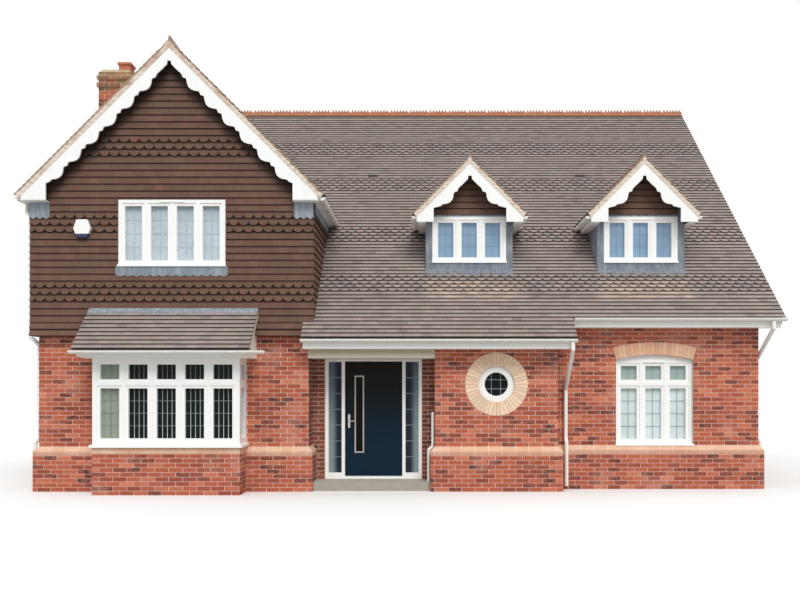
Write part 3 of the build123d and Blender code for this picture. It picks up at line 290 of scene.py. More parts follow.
class Finish(Shading):
    """A procedural material while its colour is being laid, layer over layer."""

    def __init__(self, name):
        self.name = name
        self.material = bpy.data.materials.new(name)
        self.material.use_nodes = True
        super().__init__(self.material.node_tree)
        self.shader = self.tree.nodes["Principled BSDF"]
        self.here = self.node("TexCoord", output="Object")
        self.normal = self.node("NewGeometry", output="Normal")
        self.at, self.back, self.up = [self.axis(name, self.here) for name in "XYZ"]

    def noise(self, scale, detail=3.0, stretch=(1, 1, 1)):
        where = self.node("Mapping", {}, {"Vector": self.here, "Scale": stretch})
        return self.node("TexNoise", {}, {"Vector": where, "Scale": scale, "Detail": detail})

    def patches(self, start, slope, *noise):
        """1 in the patches where a noise is past a value, with soft edges."""
        return self.clamp((self.noise(*noise) - start) * slope)

    def axis(self, name, of):
        return self.node("SeparateXYZ", {}, {0: of}, output=name)

    def faces(self, name):
        """How far the surface faces along an axis, from -1 to 1."""
        return self.axis(name, self.normal)

    def unsigned(self, value):
        return self.maths("ABSOLUTE", value)

    def tone(self):
        """The random number of the brick or tile that is being shaded."""
        return self.node("Attribute", {"attribute_name": "tone"}, output="Fac")

    def shuffle(self, by, value=None):
        """Another random number, made from that one or from a value."""
        return self.maths("FRACT", (value or self.tone()) * by)

    def nook(self, start, end):
        """From 0 to 1 up a tile, from where its neighbours' shade starts to full shade."""
        rise = self.axis("Y", self.node("UVMap"))
        return self.clamp((rise - start) * (1 / (end - start)))

    def over(self, share, *hue):
        """Lays a colour over what is there, by a share from 0 to 1.

        The colour is red, green and blue from 0 to 255, or one that is made already.
        """
        self.hue = self.mix(share, self.hue, paint(*hue) if len(hue) == 3 else hue[0])

    def shade(self, by, low=0.85, high=1.12):
        """Makes the colour darker and lighter by a value from 0 to 1."""
        factor = by * (high - low) + low
        grey = self.node("CombineXYZ", {}, {0: factor, 1: factor, 2: factor})
        self.hue = self.mix(1.0, self.hue, grey, "MULTIPLY")

    def set(self, name, value):
        self.feed(self.shader.inputs[name], value)

    def bump(self, height, distance, strength=1.0):
        self.set("Normal", self.node(
            "Bump", {}, {"Height": height, "Distance": distance, "Strength": strength}))

    def coat(self, roughness, grain=None, relief=0.001):
        """Ends a finish with its roughness and the grain of its surface."""
        self.set("Base Color", self.hue)
        self.set("Roughness", roughness)
        if grain:
            self.bump(self.noise(*grain), relief)

    def clay(self, grain, relief=0.001, roughness=0.92, detail=4):
        """The same for fired clay and mortar, which are dull."""
        self.set("Specular IOR Level", 0.2)
        self.coat(roughness, (grain, detail), relief)


FINISHES = {}
made_finishes = {}


def finish(function):
    """Lists a function under the name of the finish that it makes."""
    FINISHES[function.__name__.removesuffix("_finish")] = function
    return function


def finish_of(name):
    """The material of that name, made the first time that a piece asks for it."""
    if name not in made_finishes:
        look = Finish(name)
        FINISHES[name](look)
        made_finishes[name] = look.material
    return made_finishes[name]


@finish
def brick_finish(look):
    """Red stocks: some are burnt in dark smears, and each has its own shade. Inside the porch
    recess they get painted shade.
    """
    hues = colours()
    tone = look.tone()
    look.hue = look.node("ValToRGB", {"stops": [
        (0.00, hues.brick_brown), (0.30, hues.brick_brown), (0.45, hues.brick_red),
        (0.80, hues.brick_red), (1.00, hues.brick_light)]}, {0: tone})
    burnt = look.clamp((0.22 - tone) * 12) * 0.8 + 0.16
    look.over(look.patches(0.46, 9, 11, 3, (1, 1, 2.6)) * burnt, hues.brick_dark)
    look.shade(look.shuffle(57.31) * 0.6 + look.noise(9) * 0.4, 0.86, 1.16)
    look.over(look.patches(0.55, 3, 2.2) * 0.3, hues.mortar)
    lichen = look.clamp((look.up - LICHEN_FOOT) * 3 + (look.noise(5, 4) - 0.5) * 3)
    look.over(lichen * 0.78, 142, 124, 84)
    # Painted shade: the bricks inside the porch recess are darkened towards the burnt colour.
    porch = ((look.back > WING_FACE + 0.1) * (look.back < FRONT_PART)
             * (look.at > PORCH_LEFT) * (look.at < PORCH_RIGHT))
    look.over(porch * 0.6, hues.brick_dark)
    look.clay(260, 0.0015)


def lay_mortar(look, hue):
    look.hue = hue
    look.shade(look.noise(14), 0.86, 1.08)


@finish
def mortar_finish(look):
    """Mortar outside, plaster on the faces that look into the house."""
    outward = look.node("VectorMath", {"operation": "DOT_PRODUCT"},
                        {0: look.normal, 1: look.here}, output="Value")
    lay_mortar(look, colours().mortar)
    look.over(outward < 0, 222, 214, 198)
    look.clay(320)


@finish
def joint_finish(look):
    """Mortar, grown over with lichen on top of the chimney."""
    lay_mortar(look, colours().mortar)
    cap = look.clamp((look.up - LICHEN_CAP) * 4 + (look.noise(6, 4) - 0.5) * 2)
    look.over(cap * 0.85, 138, 122, 76)
    look.clay(320)


@finish
def tinted_joint_finish(look):
    """The darker joints between the buff bricks."""
    lay_mortar(look, paint(184, 146, 120))
    look.clay(320)


@finish
def buff_finish(look, pale=0.0):
    look.hue = colours().buff
    look.over(look.shuffle(31.7) * 0.45, 222, 158, 128)
    look.over(pale, 248, 220, 192)
    look.shade(look.tone() * 0.6 + look.noise(12) * 0.4, 0.82, 1.14)
    look.clay(260, 0.0012)


@finish
def ring_finish(look):
    buff_finish(look, 0.78)


@finish
def plinth_finish(look):
    """The splayed course: cream where it is washed, pink and stained lower down."""
    look.hue = paint(222, 184, 156)
    look.over(look.shuffle(31.7) * 0.5, 210, 158, 132)
    look.over(look.clamp((PLINTH_EDGE + 0.02 - look.up) * 12) * 0.6, 198, 132, 108)
    look.shade(look.noise(10, 4), 0.88, 1.1)
    look.over(look.patches(0.5, 3, 1.7) * 0.3, colours().mortar)
    look.clay(260, 0.0012)


def paint_tail_shade(look):
    """Paints shade on the lower ends of tiles, which face the ground."""
    look.over(look.faces("Z") < -0.3, 28, 24, 22)


def washed(look):
    """1 where rain off a dormer's lead keeps the tiles below it clean."""
    low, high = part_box("front_dormer_roofs")
    half = high.z - low.z
    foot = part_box("front_dormer_walls")[0].z
    reach, drop = 0.95, 0.42
    beside = [look.unsigned(look.at - middle) for middle in (low.x + half, high.x - half)]
    near = look.clamp((reach - look.maths("MINIMUM", *beside)) * 4)
    below = look.clamp((foot + 0.02 - look.up) * 20)
    above = look.clamp((look.up - foot + drop) * 12)
    return near * below * above * (look.back < 0)


@finish
def roof_tile_finish(look):
    """Roof tiles: each with its own shade, weathered in patches and streaks."""
    tone = look.tone()
    look.hue = colours().roof_tile
    look.over(look.clamp((tone - 0.8) * 4) * 0.6, 162, 138, 128)
    look.over(look.clamp((0.2 - tone) * 4) * 0.6, 112, 100, 98)
    weather = look.noise(0.9, 5) * 0.6 + look.noise(7, 4) * 0.4
    look.shade(weather * 0.7 + look.shuffle(43.7) * 0.3, 0.74, 1.24)
    look.over(look.patches(0.62, 8, 38, 5) * 0.3, 186, 180, 160)
    verge = (look.unsigned(look.faces("Y")) > 0.9) * (look.unsigned(look.back) > VERGE_FROM)
    look.over(verge, 172, 146, 128)
    look.over(washed(look) * (look.shuffle(19.3) * 0.4 + 0.15), 208, 180, 162)
    # Painted shade under the tails of the course above, deepest in the notches between rounded
    # tiles.
    look.shade(look.nook(0.66, 0.98), 1.0, 0.24)
    paint_tail_shade(look)
    look.clay(190, 0.0015)


@finish
def hanging_tile_finish(look):
    """Brown tiles, dark where a neighbour or a bargeboard shades them."""
    look.hue = colours().hanging_tile
    look.over(look.clamp((look.tone() - 0.94) * 12) * 0.4, 132, 88, 74)
    look.shade(look.shuffle(43.7) * 0.4 + look.noise(6, 4) * 0.6, 0.84, 1.24)
    # Painted shade under the tails of the course above.
    look.shade(look.nook(0.72, 0.98), 1.0, 0.12)
    # Painted shadow under the wing's bargeboard, darkest close to it.
    low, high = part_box("wing_roof")
    below = high.z - look.up - look.unsigned(look.at - (low.x + high.x) / 2)
    look.over(look.clamp((BARGE_SHADE - below) * 5) * (look.at < high.x) * 0.75, 36, 28, 27)
    paint_tail_shade(look)
    look.clay(210, 0.0012, 0.8)


@finish
def painted_gap_shade_finish(look):
    """The shade between hanging tiles."""
    # Painted shade: a dark colour on the slabs behind the hanging tiles, where they show between
    # them.
    look.hue = paint(44, 35, 32)
    look.shade(look.noise(8), 0.8, 1.1)
    look.clay(120, detail=3)


def verge_finish(look, across):
    """The shade between roof tiles, with mortar on the ends that face along an axis."""
    clay = look.mix(look.noise(4, 4), paint(234, 222, 208), paint(206, 172, 150))
    look.hue = paint(112, 100, 94)
    look.shade(look.noise(30), 0.8, 1.15)
    # Painted shade: the slab under the roof tiles is dark where it shows between them, and its
    # eave faces take the colour of tile edges.
    eaves, look.hue = look.hue, paint(62, 54, 51)
    look.shade(look.noise(8), 0.8, 1.1)
    look.over(look.unsigned(look.faces("Z")) < 0.3, eaves)
    look.over(look.unsigned(look.faces(across)) > 0.9, clay)
    look.clay(120, detail=3)


@finish
def side_verge_finish(look):
    verge_finish(look, "X")


@finish
def gable_verge_finish(look):
    verge_finish(look, "Y")


@finish
def verge_mortar_finish(look):
    """Pointing under the verge tiles, darker at the foot of every course."""
    look.hue = paint(234, 218, 202)
    worn = look.clamp(look.noise(4, 5) * 4 - 1.7 + (look.up - VERGE_WORN) * 0.3)
    look.over(worn, 190, 148, 122)
    look.over(look.clamp(look.noise(18, 3) * 8 - 4.6) * 0.5, 150, 140, 108)
    look.shade(look.maths("FRACT", (look.up + look.noise(6) * 0.02) / COURSE_RISE), 0.80, 1.06)
    look.clay(60, 0.002)


@finish
def terracotta_finish(look):
    """Ridge tiles: orange and bedded in dark mortar along the main ridge, with a painted shadow
    line along their lower edge; pale elsewhere.
    """
    look.hue = colours().terracotta
    tile = look.maths("FLOOR", look.at / RIDGE_TILE)
    look.over(look.node("TexWhiteNoise", {"noise_dimensions": "1D"}, {"W": tile}), 208, 140, 104)
    look.over(look.clamp(look.noise(7, 4) * 6 - 3.4) * 0.5, 206, 156, 76)
    look.over(look.clamp((look.up - RIDGE_PALE) * 30), 184, 122, 102)
    edge = look.up + look.noise(11) * 0.012
    # Painted shadow: a dark line along the lower edge of the ridge tiles.
    look.over(edge < RIDGE_SHADOW_TOP, 58, 36, 27)
    look.over(edge < RIDGE_BED, 116, 102, 96)
    look.over(look.up < MAIN_RIDGE, 178, 146, 132)
    look.shade(look.noise(15, 4), 0.72, 1.12)
    look.coat(0.85, (200, 4), 0.0015)


@finish
def pot_finish(look):
    look.hue = paint(204, 126, 94)
    look.over(look.noise(9, 4), 172, 98, 72)
    look.shade(look.noise(3), 0.85, 1.1)
    look.coat(0.8, (120, 4))


@finish
def white_board_finish(look):
    """White painted boards and plastic, with rain streaks and dust."""
    look.hue = colours().white_board
    look.over(look.patches(0.5, 2.5, 5, 4, (6, 6, 0.6)) * 0.14, 188, 184, 170)
    look.coat(look.noise(20) * 0.15 + 0.3, (60,), 0.0004)


@finish
def cream_plastic_finish(look):
    look.hue = paint(248, 247, 241)
    look.over(look.patches(0.45, 2.5, 4, 4, (6, 6, 0.6)) * 0.2, 196, 190, 172)
    look.coat(0.35, (50,), 0.0004)


@finish
def beam_finish(look):
    """The porch beam's painted boards, with painted shade of the eaves over their upper part."""
    look.hue = paint(236, 230, 216)
    # Painted shade of the eaves on the upper part of the beam, with an uneven edge.
    eave_shade = look.clamp((look.up - BEAM_PAINTED_SHADE) * 14 + look.noise(3, 4) * 0.4 - 0.2)
    look.over(eave_shade, 186, 182, 152)
    look.coat(0.5)


@finish
def lead_finish(look):
    """Lead sheet with pale streaks, and painted shade on the aprons that face forward."""
    look.hue = colours().lead
    look.over(look.patches(0.42, 3, 4, 5, (5, 5, 0.8)) * 0.6, 184, 190, 196)
    look.shade(look.noise(12, 4), 0.82, 1.12)
    # Painted shade on lead that faces forward behind the wing's face, such as the dormers' aprons.
    look.shade((look.faces("Y") < -0.3) * (look.back > WING_FACE + 0.4), 1.0, 0.78)
    look.set("Metallic", 0.25)
    look.coat(0.55, (7, 3), 0.006)


@finish
def door_paint_finish(look):
    """Dark blue, deeper towards the head where the porch shades it."""
    look.hue = colours().door
    # Painted shade of the porch, darkening from 0.7 m up to the door's head.
    look.over(look.clamp((look.up - 0.7) / 1.1), 10, 12, 9)
    look.shade(look.noise(3), 0.9, 1.1)
    look.set("Specular IOR Level", 0.12)
    look.coat(look.noise(40) * 0.1 + 0.42, (420,), 0.0002)


@finish
def steel_finish(look):
    look.hue = paint(196, 194, 188)
    brush = look.noise(120, 3, (1, 1, 12))
    look.shade(brush, 0.85, 1.1)
    look.set("Metallic", 1.0)
    look.coat(brush * 0.2 + 0.25)


@finish
def floor_boards_finish(look):
    look.hue = paint(150, 116, 80)
    board = look.maths("FLOOR", look.at / BOARD_WIDE)
    look.shade(look.shuffle(0.618, board) * 0.5 + look.noise(3, 4) * 0.5)
    look.coat(0.6)


@finish
def alarm_finish(look):
    """A white cover with a dark blue lower part."""
    look.hue = colours().white_board
    blue = 0.055
    look.over(look.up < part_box("alarm_box")[0].z + blue, 38, 52, 92)
    look.coat(look.noise(30) * 0.1 + 0.3)


@finish
def came_finish(look):
    """Leads, with painted light and shade: each window's leads take the brightness that the glass
    behind gives them.
    """
    look.hue = paint(128, 144, 152)
    # Painted light and shade: darker leads in the bay, pale sky-blue ones in the dormers and
    # blue-grey ones in the wing window.
    look.over(look.at < BAY_RIGHT, 104, 114, 114)
    upper = look.mix(look.at > 0.0, paint(168, 184, 194), paint(116, 140, 160))
    look.over(look.up > UPPER_FLOOR, upper)
    look.coat(0.5)


@finish
def bright_came_finish(look):
    """The bay's upright leads, which catch the light at their feet."""
    look.hue = paint(186, 196, 190)
    # Painted highlight: the leads are pale at their feet and darker higher up.
    look.over(look.clamp(look.up * 1.1 - 1.2), 98, 104, 106)
    look.shade(look.noise(9, 2, (1, 1, 0.3)))
    look.coat(0.5)


@finish
def net_finish(look):
    """Net curtain: a fine weave with a lace pattern."""
    look.hue = paint(242, 248, 252)
    lace = look.node("TexVoronoi", {}, {"Vector": look.here, "Scale": 24, "Randomness": 0.5})
    look.shade(lace, 0.6, 1.25)
    look.bump(lace, 0.001)
    look.coat(0.9)


# Plain finishes: colour, how blotched, darkest, palest, roughness, grain and relief
PLAIN = {
    "concrete": (paint(176, 168, 156), (6, 5), 0.8, 1.12, 0.9, (90, 5), 0.001),
    "vent": (paint(52, 44, 44), (30,), 0.8, 1.2, 0.7, None, 0),
    "trim": (paint(196, 182, 172), (20,), 0.9, 1.05, 0.4, None, 0),
    "voile": (paint(246, 250, 250), (6,), 0.94, 1.04, 0.9, (600,), 0.0003),
    "curtain": (paint(244, 240, 216), (5,), 0.92, 1.05, 0.9, (500,), 0.0004),
}


def plain_finish(look):
    """The finish in the table that has the material's name."""
    look.hue, blotch, low, high, *surface = PLAIN[look.name]
    look.shade(look.noise(*blotch), low, high)
    look.coat(*surface)


FINISHES.update(dict.fromkeys(PLAIN, plain_finish))


def lay_pane(look, alpha, gloss=0.5):
    """Glass seen by day: it mirrors the pale sky and hides part of the room."""
    ripple = look.noise(2.5, 2)
    look.shade(ripple, 0.8, 1.2)
    look.set("Specular IOR Level", gloss)
    look.set("Alpha", alpha)
    look.bump(ripple, 0.004, 0.3)
    look.coat(0.04)


@finish
def low_glass_finish(look):
    """Ground floor panes: dark in the bay and the door as painted shade of the rooms behind, clear
    before curtains and nets, and pale on the right window as painted light.
    """
    at, up = look.at, look.up
    curtained, bay, right, top = at < CURTAIN_RIGHT, at < BAY_RIGHT, at > ARCHED_LEFT, up > TRANSOM
    # Painted shade: a dark colour standing in for the unlit rooms behind the panes.
    look.hue = paint(20, 26, 28)
    look.over(curtained, 158, 174, 160)
    pale = look.mix(look.clamp((up - 1.0) * 0.8), paint(138, 156, 158), paint(92, 106, 128))
    lit = look.clamp((DIM_LEFT - at) * 12) + look.clamp((at - DIM_RIGHT) * 12)
    side_light = look.mix(lit, paint(42, 48, 62), pale)
    look.over((at > BAY_RIGHT) * (at < GLAZED_RIGHT), side_light)
    # Painted shade: the small pane in the door is near black.
    look.over((at > SLOT_LEFT) * (at < SLOT_RIGHT), 8, 8, 7)
    # Painted light: the right window's glass is pale, palest in its toplights.
    look.over(right, look.mix(top, paint(240, 252, 252), paint(178, 196, 194)))
    lay_pane(look, bay * 0.08 - curtained * 0.58 - right * 0.3 + right * top * 0.2 + 0.88, 0.1)


@finish
def high_glass_finish(look):
    """Upper panes: clear before the wing's nets, with painted light in their pale glass and
    painted shade at their heads, and sky blue in the dormers as a painted reflection of the sky.
    """
    dormer = look.at > 0.0
    shade = look.clamp((look.up - NET_TOP) * 8) * 0.6
    # Painted light: pale glass before the wing's nets.
    look.hue = paint(220, 234, 242)
    look.over(shade, 136, 158, 180)
    # Painted reflection of the sky on the dormers' panes.
    look.over(dormer, 142, 174, 202)
    lay_pane(look, dormer * 0.45 + shade * 0.4 + 0.4)


@finish
def rear_glass_finish(look):
    look.hue = paint(96, 116, 132)
    lay_pane(look, 0.8)



# The finish of every carried-over part
NODE_FINISHES = {
    "mortar": ["wing_front_wall", "wing_flank_wall", "left_wall", "right_wall", "rear_wall",
               "cloakroom_wall", "right_front_wall"],
    "joint": ["porch_left_wall", "porch_right_wall", "porch_head_wall", "porch_lintel",
              "bay_base", "chimney_stack"],
    "tinted_joint": ["window_arches", "round_window_surround"],
    "side_verge": ["main_roof_front", "main_roof_rear", "bay_roof"],
    "gable_verge": ["wing_roof", "front_dormer_roofs", "rear_dormer_roofs"],
    # Painted shade between the hanging tiles
    "painted_gap_shade": ["wing_tile_hanging_front", "wing_tile_hanging_sides"],
    "terracotta": ["ridge_tiles"],
    "pot": ["chimney_pot"],
    "white_board": ["wing_bargeboard", "dormer_bargeboards", "bay_soffit", "eaves_boards",
                    "wing_window_frame", "right_window_frame", "dormer_window_frames",
                    "rear_and_side_frames", "round_window_frame", "bay_window_frame",
                    "door_frame"],
    "trim": ["door_trim"],
    "beam": ["porch_beam"],
    "cream_plastic": ["gutters", "downpipes"],
    "lead": ["front_dormer_walls", "rear_dormer_walls", "lead_flashings"],
    "door_paint": ["front_door"],
    "steel": ["door_handles", "hinge_door_halves", "hinge_frame_halves"],
    "concrete": ["ground_floor", "porch_step"],
    "floor_boards": ["upper_floor"],
    "vent": ["roof_vents"],
    "alarm": ["alarm_box"],
    "low_glass": ["ground_front_glass", "door_glass"],
    "high_glass": ["upper_front_glass"],
    "rear_glass": ["rear_and_side_glass"],
}

# Modelling by hand, one step each

def pick(piece):
    """Makes a piece the only one selected, and the active one."""
    bpy.ops.object.select_all(action="DESELECT")
    piece.select_set(True)
    bpy.context.view_layer.objects.active = piece


def settle(piece):
    """Puts a piece's place, turn and scale into its mesh."""
    pick(piece)
    bpy.ops.object.transform_apply(location=True, rotation=True, scale=True)
    return piece


def turn(piece, matrix):
    """Lays a finished mesh in its place on the house."""
    piece.matrix_world = matrix
    return settle(piece)


def move(piece, x=0.0, y=0.0, z=0.0):
    return turn(piece, frame_at((x, y, z)))


def frame_at(spot, angle=0.0, axis="Z"):
    """A frame at a spot, turned about one of its axes."""
    return Matrix.Translation(spot) @ Matrix.Rotation(angle, 4, axis)


def add(kind, **settings):
    """A new primitive at its size and place."""
    bpy.ops.object.select_all(action="DESELECT")
    getattr(bpy.ops.mesh, f"primitive_{kind}_add")(**settings)
    return settle(bpy.context.object)


def box(low, high):
    """A block between two corners."""
    low, high = Vector(low), Vector(high)
    return add("cube", size=1, location=(low + high) / 2, scale=high - low)


def grown(low, high, x=0.0, y=0.0, z=0.0):
    """A block that reaches past a box, to cut a hole for what stands there."""
    more = Vector((x, y, z))
    return box(low - more, high + more)


def modify(piece, kind, **settings):
    pick(piece)
    modifier = piece.modifiers.new(kind.lower(), kind)
    for key, value in settings.items():
        setattr(modifier, key, value)
    bpy.ops.object.modifier_apply(modifier=modifier.name)
    return piece


def repeat(piece, count, step):
    """Copies of a piece in a row."""
    if count > 1:
        modify(piece, "ARRAY", count=count, use_relative_offset=False,
               use_constant_offset=True, constant_offset_displace=step)
    return piece


def cut(piece, cutters, way="DIFFERENCE"):
    """Cuts a piece with others, which are used up."""
    for cutter in cutters:
        modify(piece, "BOOLEAN", operation=way, object=cutter, solver="MANIFOLD")
        bpy.data.objects.remove(cutter)
    return piece


def keep(piece, low, high):
    """Keeps what lies between two corners."""
    return cut(piece, [box(low, high)], "INTERSECT")


def join(pieces):
    pick(pieces[0])
    for piece in pieces[1:]:
        piece.select_set(True)
    bpy.ops.object.join()
    return pieces[0]


def duplicate(piece):
    pick(piece)
    bpy.ops.object.duplicate()
    return bpy.context.object


def copy_of(name):
    """A closed copy of a CAD node, to cut with."""
    copy = duplicate(nodes[name])
    bpy.ops.object.parent_clear(type="CLEAR_KEEP_TRANSFORM")
    for key in list(copy.keys()):
        del copy[key]
    edit(copy, lambda spot: True, bpy.ops.mesh.remove_doubles, threshold=1e-5)
    return copy


def edit(piece, chosen, step, mode="VERT", **settings):
    """Runs an edit-mode operator on the points, edges or faces that a test picks.

    The test gets a point's place, the places of an edge's ends, or a face's normal.
    """
    pick(piece)
    bpy.ops.object.mode_set(mode="EDIT")
    bpy.ops.mesh.select_mode(type=mode)
    bpy.ops.mesh.select_all(action="DESELECT")
    bpy.ops.object.mode_set(mode="OBJECT")
    mesh = piece.data
    parts = {"VERT": mesh.vertices, "EDGE": mesh.edges, "FACE": mesh.polygons}[mode]
    for part in parts:
        what = (part.co if mode == "VERT" else part.normal if mode == "FACE"
                else [mesh.vertices[index].co for index in part.vertices])
        part.select = bool(chosen(what))
    bpy.ops.object.mode_set(mode="EDIT")
    step(**settings)
    bpy.ops.object.mode_set(mode="OBJECT")
    return piece


def drop_edge(piece, chosen):
    """Lowers the points of a plinth's top edge that a test picks, to make its splay."""
    return edit(piece, lambda spot: spot.z > PLINTH_EDGE and chosen(spot),
                bpy.ops.transform.translate, value=(0, 0, PLINTH_EDGE - PLINTH_TOP))


def give_tones(piece, each, seed):
    """Gives each brick or tile, of so many faces, a random number from 0 to 1."""
    dice = random.Random(seed)
    count = len(piece.data.polygons)
    values = [dice.random() for _ in range(count // each + 1)]
    tone = piece.data.attributes.new("tone", "FLOAT", "FACE")
    tone.data.foreach_set("value", [values[index // each] for index in range(count)])


def show(pieces, name, finish, body="root"):
    """Makes finished pieces one, names it, gives it its finish and lets it ride on the house."""
    piece = join(pieces)
    piece.name = name
    piece.data.name = name
    piece.data.materials.clear()
    piece.data.materials.append(finish_of(finish))
    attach(piece, body)
    return piece


# Places read from the frame

def facing(side, corner):
    """A wall's frame: X to the right along it, Z up, its face towards -Y at y = 0."""
    angle = {"front": 0, "right": 90, "rear": 180, "left": -90}[side]
    return frame_at(corner, math.radians(angle))


def solids(node):
    """The boxes of a node's separate solids, from left to right."""
    pick(copy_of(node))
    bpy.ops.mesh.separate(type="LOOSE")
    found = []
    for piece in list(bpy.context.selected_objects):
        spots = [corner.co for corner in piece.data.vertices]
        low, high = [Vector([end(spot[axis] for spot in spots) for axis in range(3)])
                     for end in (min, max)]
        found.append((low, high))
        bpy.data.objects.remove(piece)
    return sorted(found, key=lambda pair: (round(pair[0].x, 3), pair[0].z))


def span(low, high):
    """The middle of a box along X, and half its width."""
    return (low.x + high.x) / 2, (high.x - low.x) / 2


def side_of(low, high):
    """The side of the house that a flat thing such as a window faces."""
    middle = (low + high) / 2
    if high.y - low.y < high.x - low.x:
        return "front" if middle.y < 0 else "rear"
    return "left" if middle.x < 0 else "right"


def width_of(low, high):
    """How wide a window is, along the side that it faces."""
    return max(high.x - low.x, high.y - low.y)


def on_wall(low, high):
    """The frame of a window's box: X along it from its middle, its face at y = 0."""
    side = side_of(low, high)
    middle = (low + high) / 2
    corner = {"front": (middle.x, low.y, 0), "rear": (middle.x, high.y, 0),
              "left": (low.x, middle.y, 0), "right": (high.x, middle.y, 0)}[side]
    return facing(side, corner)


def over_slopes(level, axis="X", x=0.0):
    """Everything above both slopes of a roof whose ridge is at a level."""
    return [turn(box((-FAR, -FAR, 0), (FAR, FAR, FAR)), frame_at((x, 0, level), angle, axis))
            for angle in (ROOF_PITCH, -ROOF_PITCH)]


# Bricks

CONVEX, CONCAVE, PLAIN_END = 1, -1, 0
Wall = namedtuple("Wall", "side x y length high start end low plinth",
                  defaults=(CONVEX, CONVEX, PLINTH_TOP, True))


def brick_steps():
    """How far it is from one brick to the next, along a course and up."""
    size = sizes()
    return size.brick_long + size.joint, size.brick_high + size.joint


def brick_panel(wall, out, low, high, seed):
    """Stretcher bond on a wall, so far out of its face, between two levels."""
    size = sizes()
    long_step, high_step = brick_steps()
    across = wall.side in ("left", "right")
    ends = {CONVEX: out - size.brick_deep if across else out + size.brick_proud,
            CONCAVE: -out, PLAIN_END: -size.brick_proud}
    shift = long_step / 2 if across else 0
    brick = box((shift - long_step, -size.brick_proud - out, low),
                (shift - long_step + size.brick_long, size.brick_deep - out,
                 low + size.brick_high))
    columns = math.ceil((wall.length + 2 * out) / long_step) + 2
    rows = math.ceil((high - low) / high_step / 2) + 1
    repeat(brick, columns, (long_step, 0, 0))
    repeat(brick, 2, (-long_step / 2 if across else long_step / 2, 0, high_step))
    repeat(brick, rows, (0, 0, 2 * high_step))
    give_tones(brick, 6, seed)
    keep(brick, (-ends[wall.start], -1, low), (wall.length + ends[wall.end], 1, high))
    return turn(brick, facing(wall.side, (wall.x, wall.y, 0)))


def house_walls():
    """Every outside wall, from left to right as each is seen from outside."""
    rear_low, rear_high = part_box("rear_wall")
    left, right, rear = rear_low.x, rear_high.x, rear_high.y - PLINTH_OUT
    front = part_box("wing_front_wall")[0].y + PLINTH_OUT
    right_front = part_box("right_front_wall")[0].y + PLINTH_OUT
    cloak_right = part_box("cloakroom_wall")[1].x - PLINTH_OUT
    (beam_left, _, porch_top), (beam_right, back, mid_top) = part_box("porch_beam")
    door_left, door_right = [corner.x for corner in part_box("door_frame")]
    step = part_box("porch_step")[1].z
    wing_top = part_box("wing_tile_hanging_front")[0].z
    right_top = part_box("right_front_wall")[1].z
    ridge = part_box("main_roof_rear")[1].z
    porch = back - front
    return {
        "wing": Wall("front", left, front, beam_left - left, wing_top),
        "porch_left": Wall("right", beam_left, front, porch, porch_top, end=CONCAVE),
        "door_left": Wall("front", beam_left, back, door_left - beam_left, porch_top,
                          CONCAVE, PLAIN_END, step, False),
        "door_right": Wall("front", door_right, back, beam_right - door_right, porch_top,
                           PLAIN_END, CONCAVE, step, False),
        "porch_right": Wall("left", beam_right, back, porch, porch_top, CONCAVE),
        "cloakroom": Wall("front", beam_right, front, cloak_right - beam_right, mid_top),
        "step": Wall("right", cloak_right, front, right_front - front, mid_top, end=CONCAVE),
        "right_front": Wall("front", cloak_right, right_front, right - cloak_right, right_top,
                            CONCAVE),
        "right": Wall("right", right, right_front, rear - right_front, ridge),
        "rear": Wall("rear", right, rear, right - left, right_top),
        "left": Wall("left", left, rear, rear - front, ridge),
    }


def wall_holes(name):
    """Blocks that cut a wall's openings and what covers it out of its bricks."""
    if name == "wing":
        bay_low, bay_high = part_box("bay_base")
        top_low, top_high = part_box("bay_soffit")
        return [box((bay_low.x, -FAR, 0), (bay_high.x, FAR, top_low.z)),
                box((top_low.x, -FAR, top_low.z), (top_high.x, FAR, FAR))]
    if name == "cloakroom":
        low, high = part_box("round_window_surround")
        return [add("cylinder", vertices=64, radius=(high.x - low.x) / 2, depth=2,
                    location=(low + high) / 2, rotation=(math.pi / 2, 0, 0))]
    if name not in ("right_front", "right", "rear", "left"):
        return []
    frames = ([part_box("right_window_frame")] if name == "right_front" else
              [pair for pair in solids("rear_and_side_frames") if side_of(*pair) == name])
    reach = {"x": 1} if name in ("left", "right") else {"y": 1}
    holes = [grown(*pair, **reach) for pair in frames] + [copy_of("window_arches")]
    holes += over_slopes(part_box("main_roof_rear")[1].z - ROOF_SLAB)
    if name == "left":
        low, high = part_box("wing_tile_hanging_sides")
        holes.append(box((-FAR, -FAR, low.z), (0, high.y, FAR)))
    return holes


def cut_plinth(name, course):
    """Cuts what stands before a wall, the bay or the rear doors, out of its plinth."""
    return cut(course, wall_holes(name) if name in ("wing", "rear") else [])


def plinth_corner(wall):
    """The mortar behind the bricks that turn an outer corner of the plinth."""
    out = PLINTH_OUT - 0.001
    corner = box((-out, -out, 0), (0, 0, PLINTH_TOP - 0.001))
    drop_edge(corner, lambda spot: min(spot.x, spot.y) < 0)
    return turn(corner, facing(wall.side, (wall.x, wall.y, 0)))


def bay_panels():
    low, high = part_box("bay_base")
    deep = high.y - low.y
    walls = [Wall("left", low.x, high.y, deep, PLINTH_EDGE, CONCAVE),
             Wall("front", low.x, low.y, high.x - low.x, PLINTH_EDGE),
             Wall("right", high.x, low.y, deep, PLINTH_EDGE, end=CONCAVE)]
    return [brick_panel(wall, 0, 0, wall.high, 80 + index) for index, wall in enumerate(walls)]


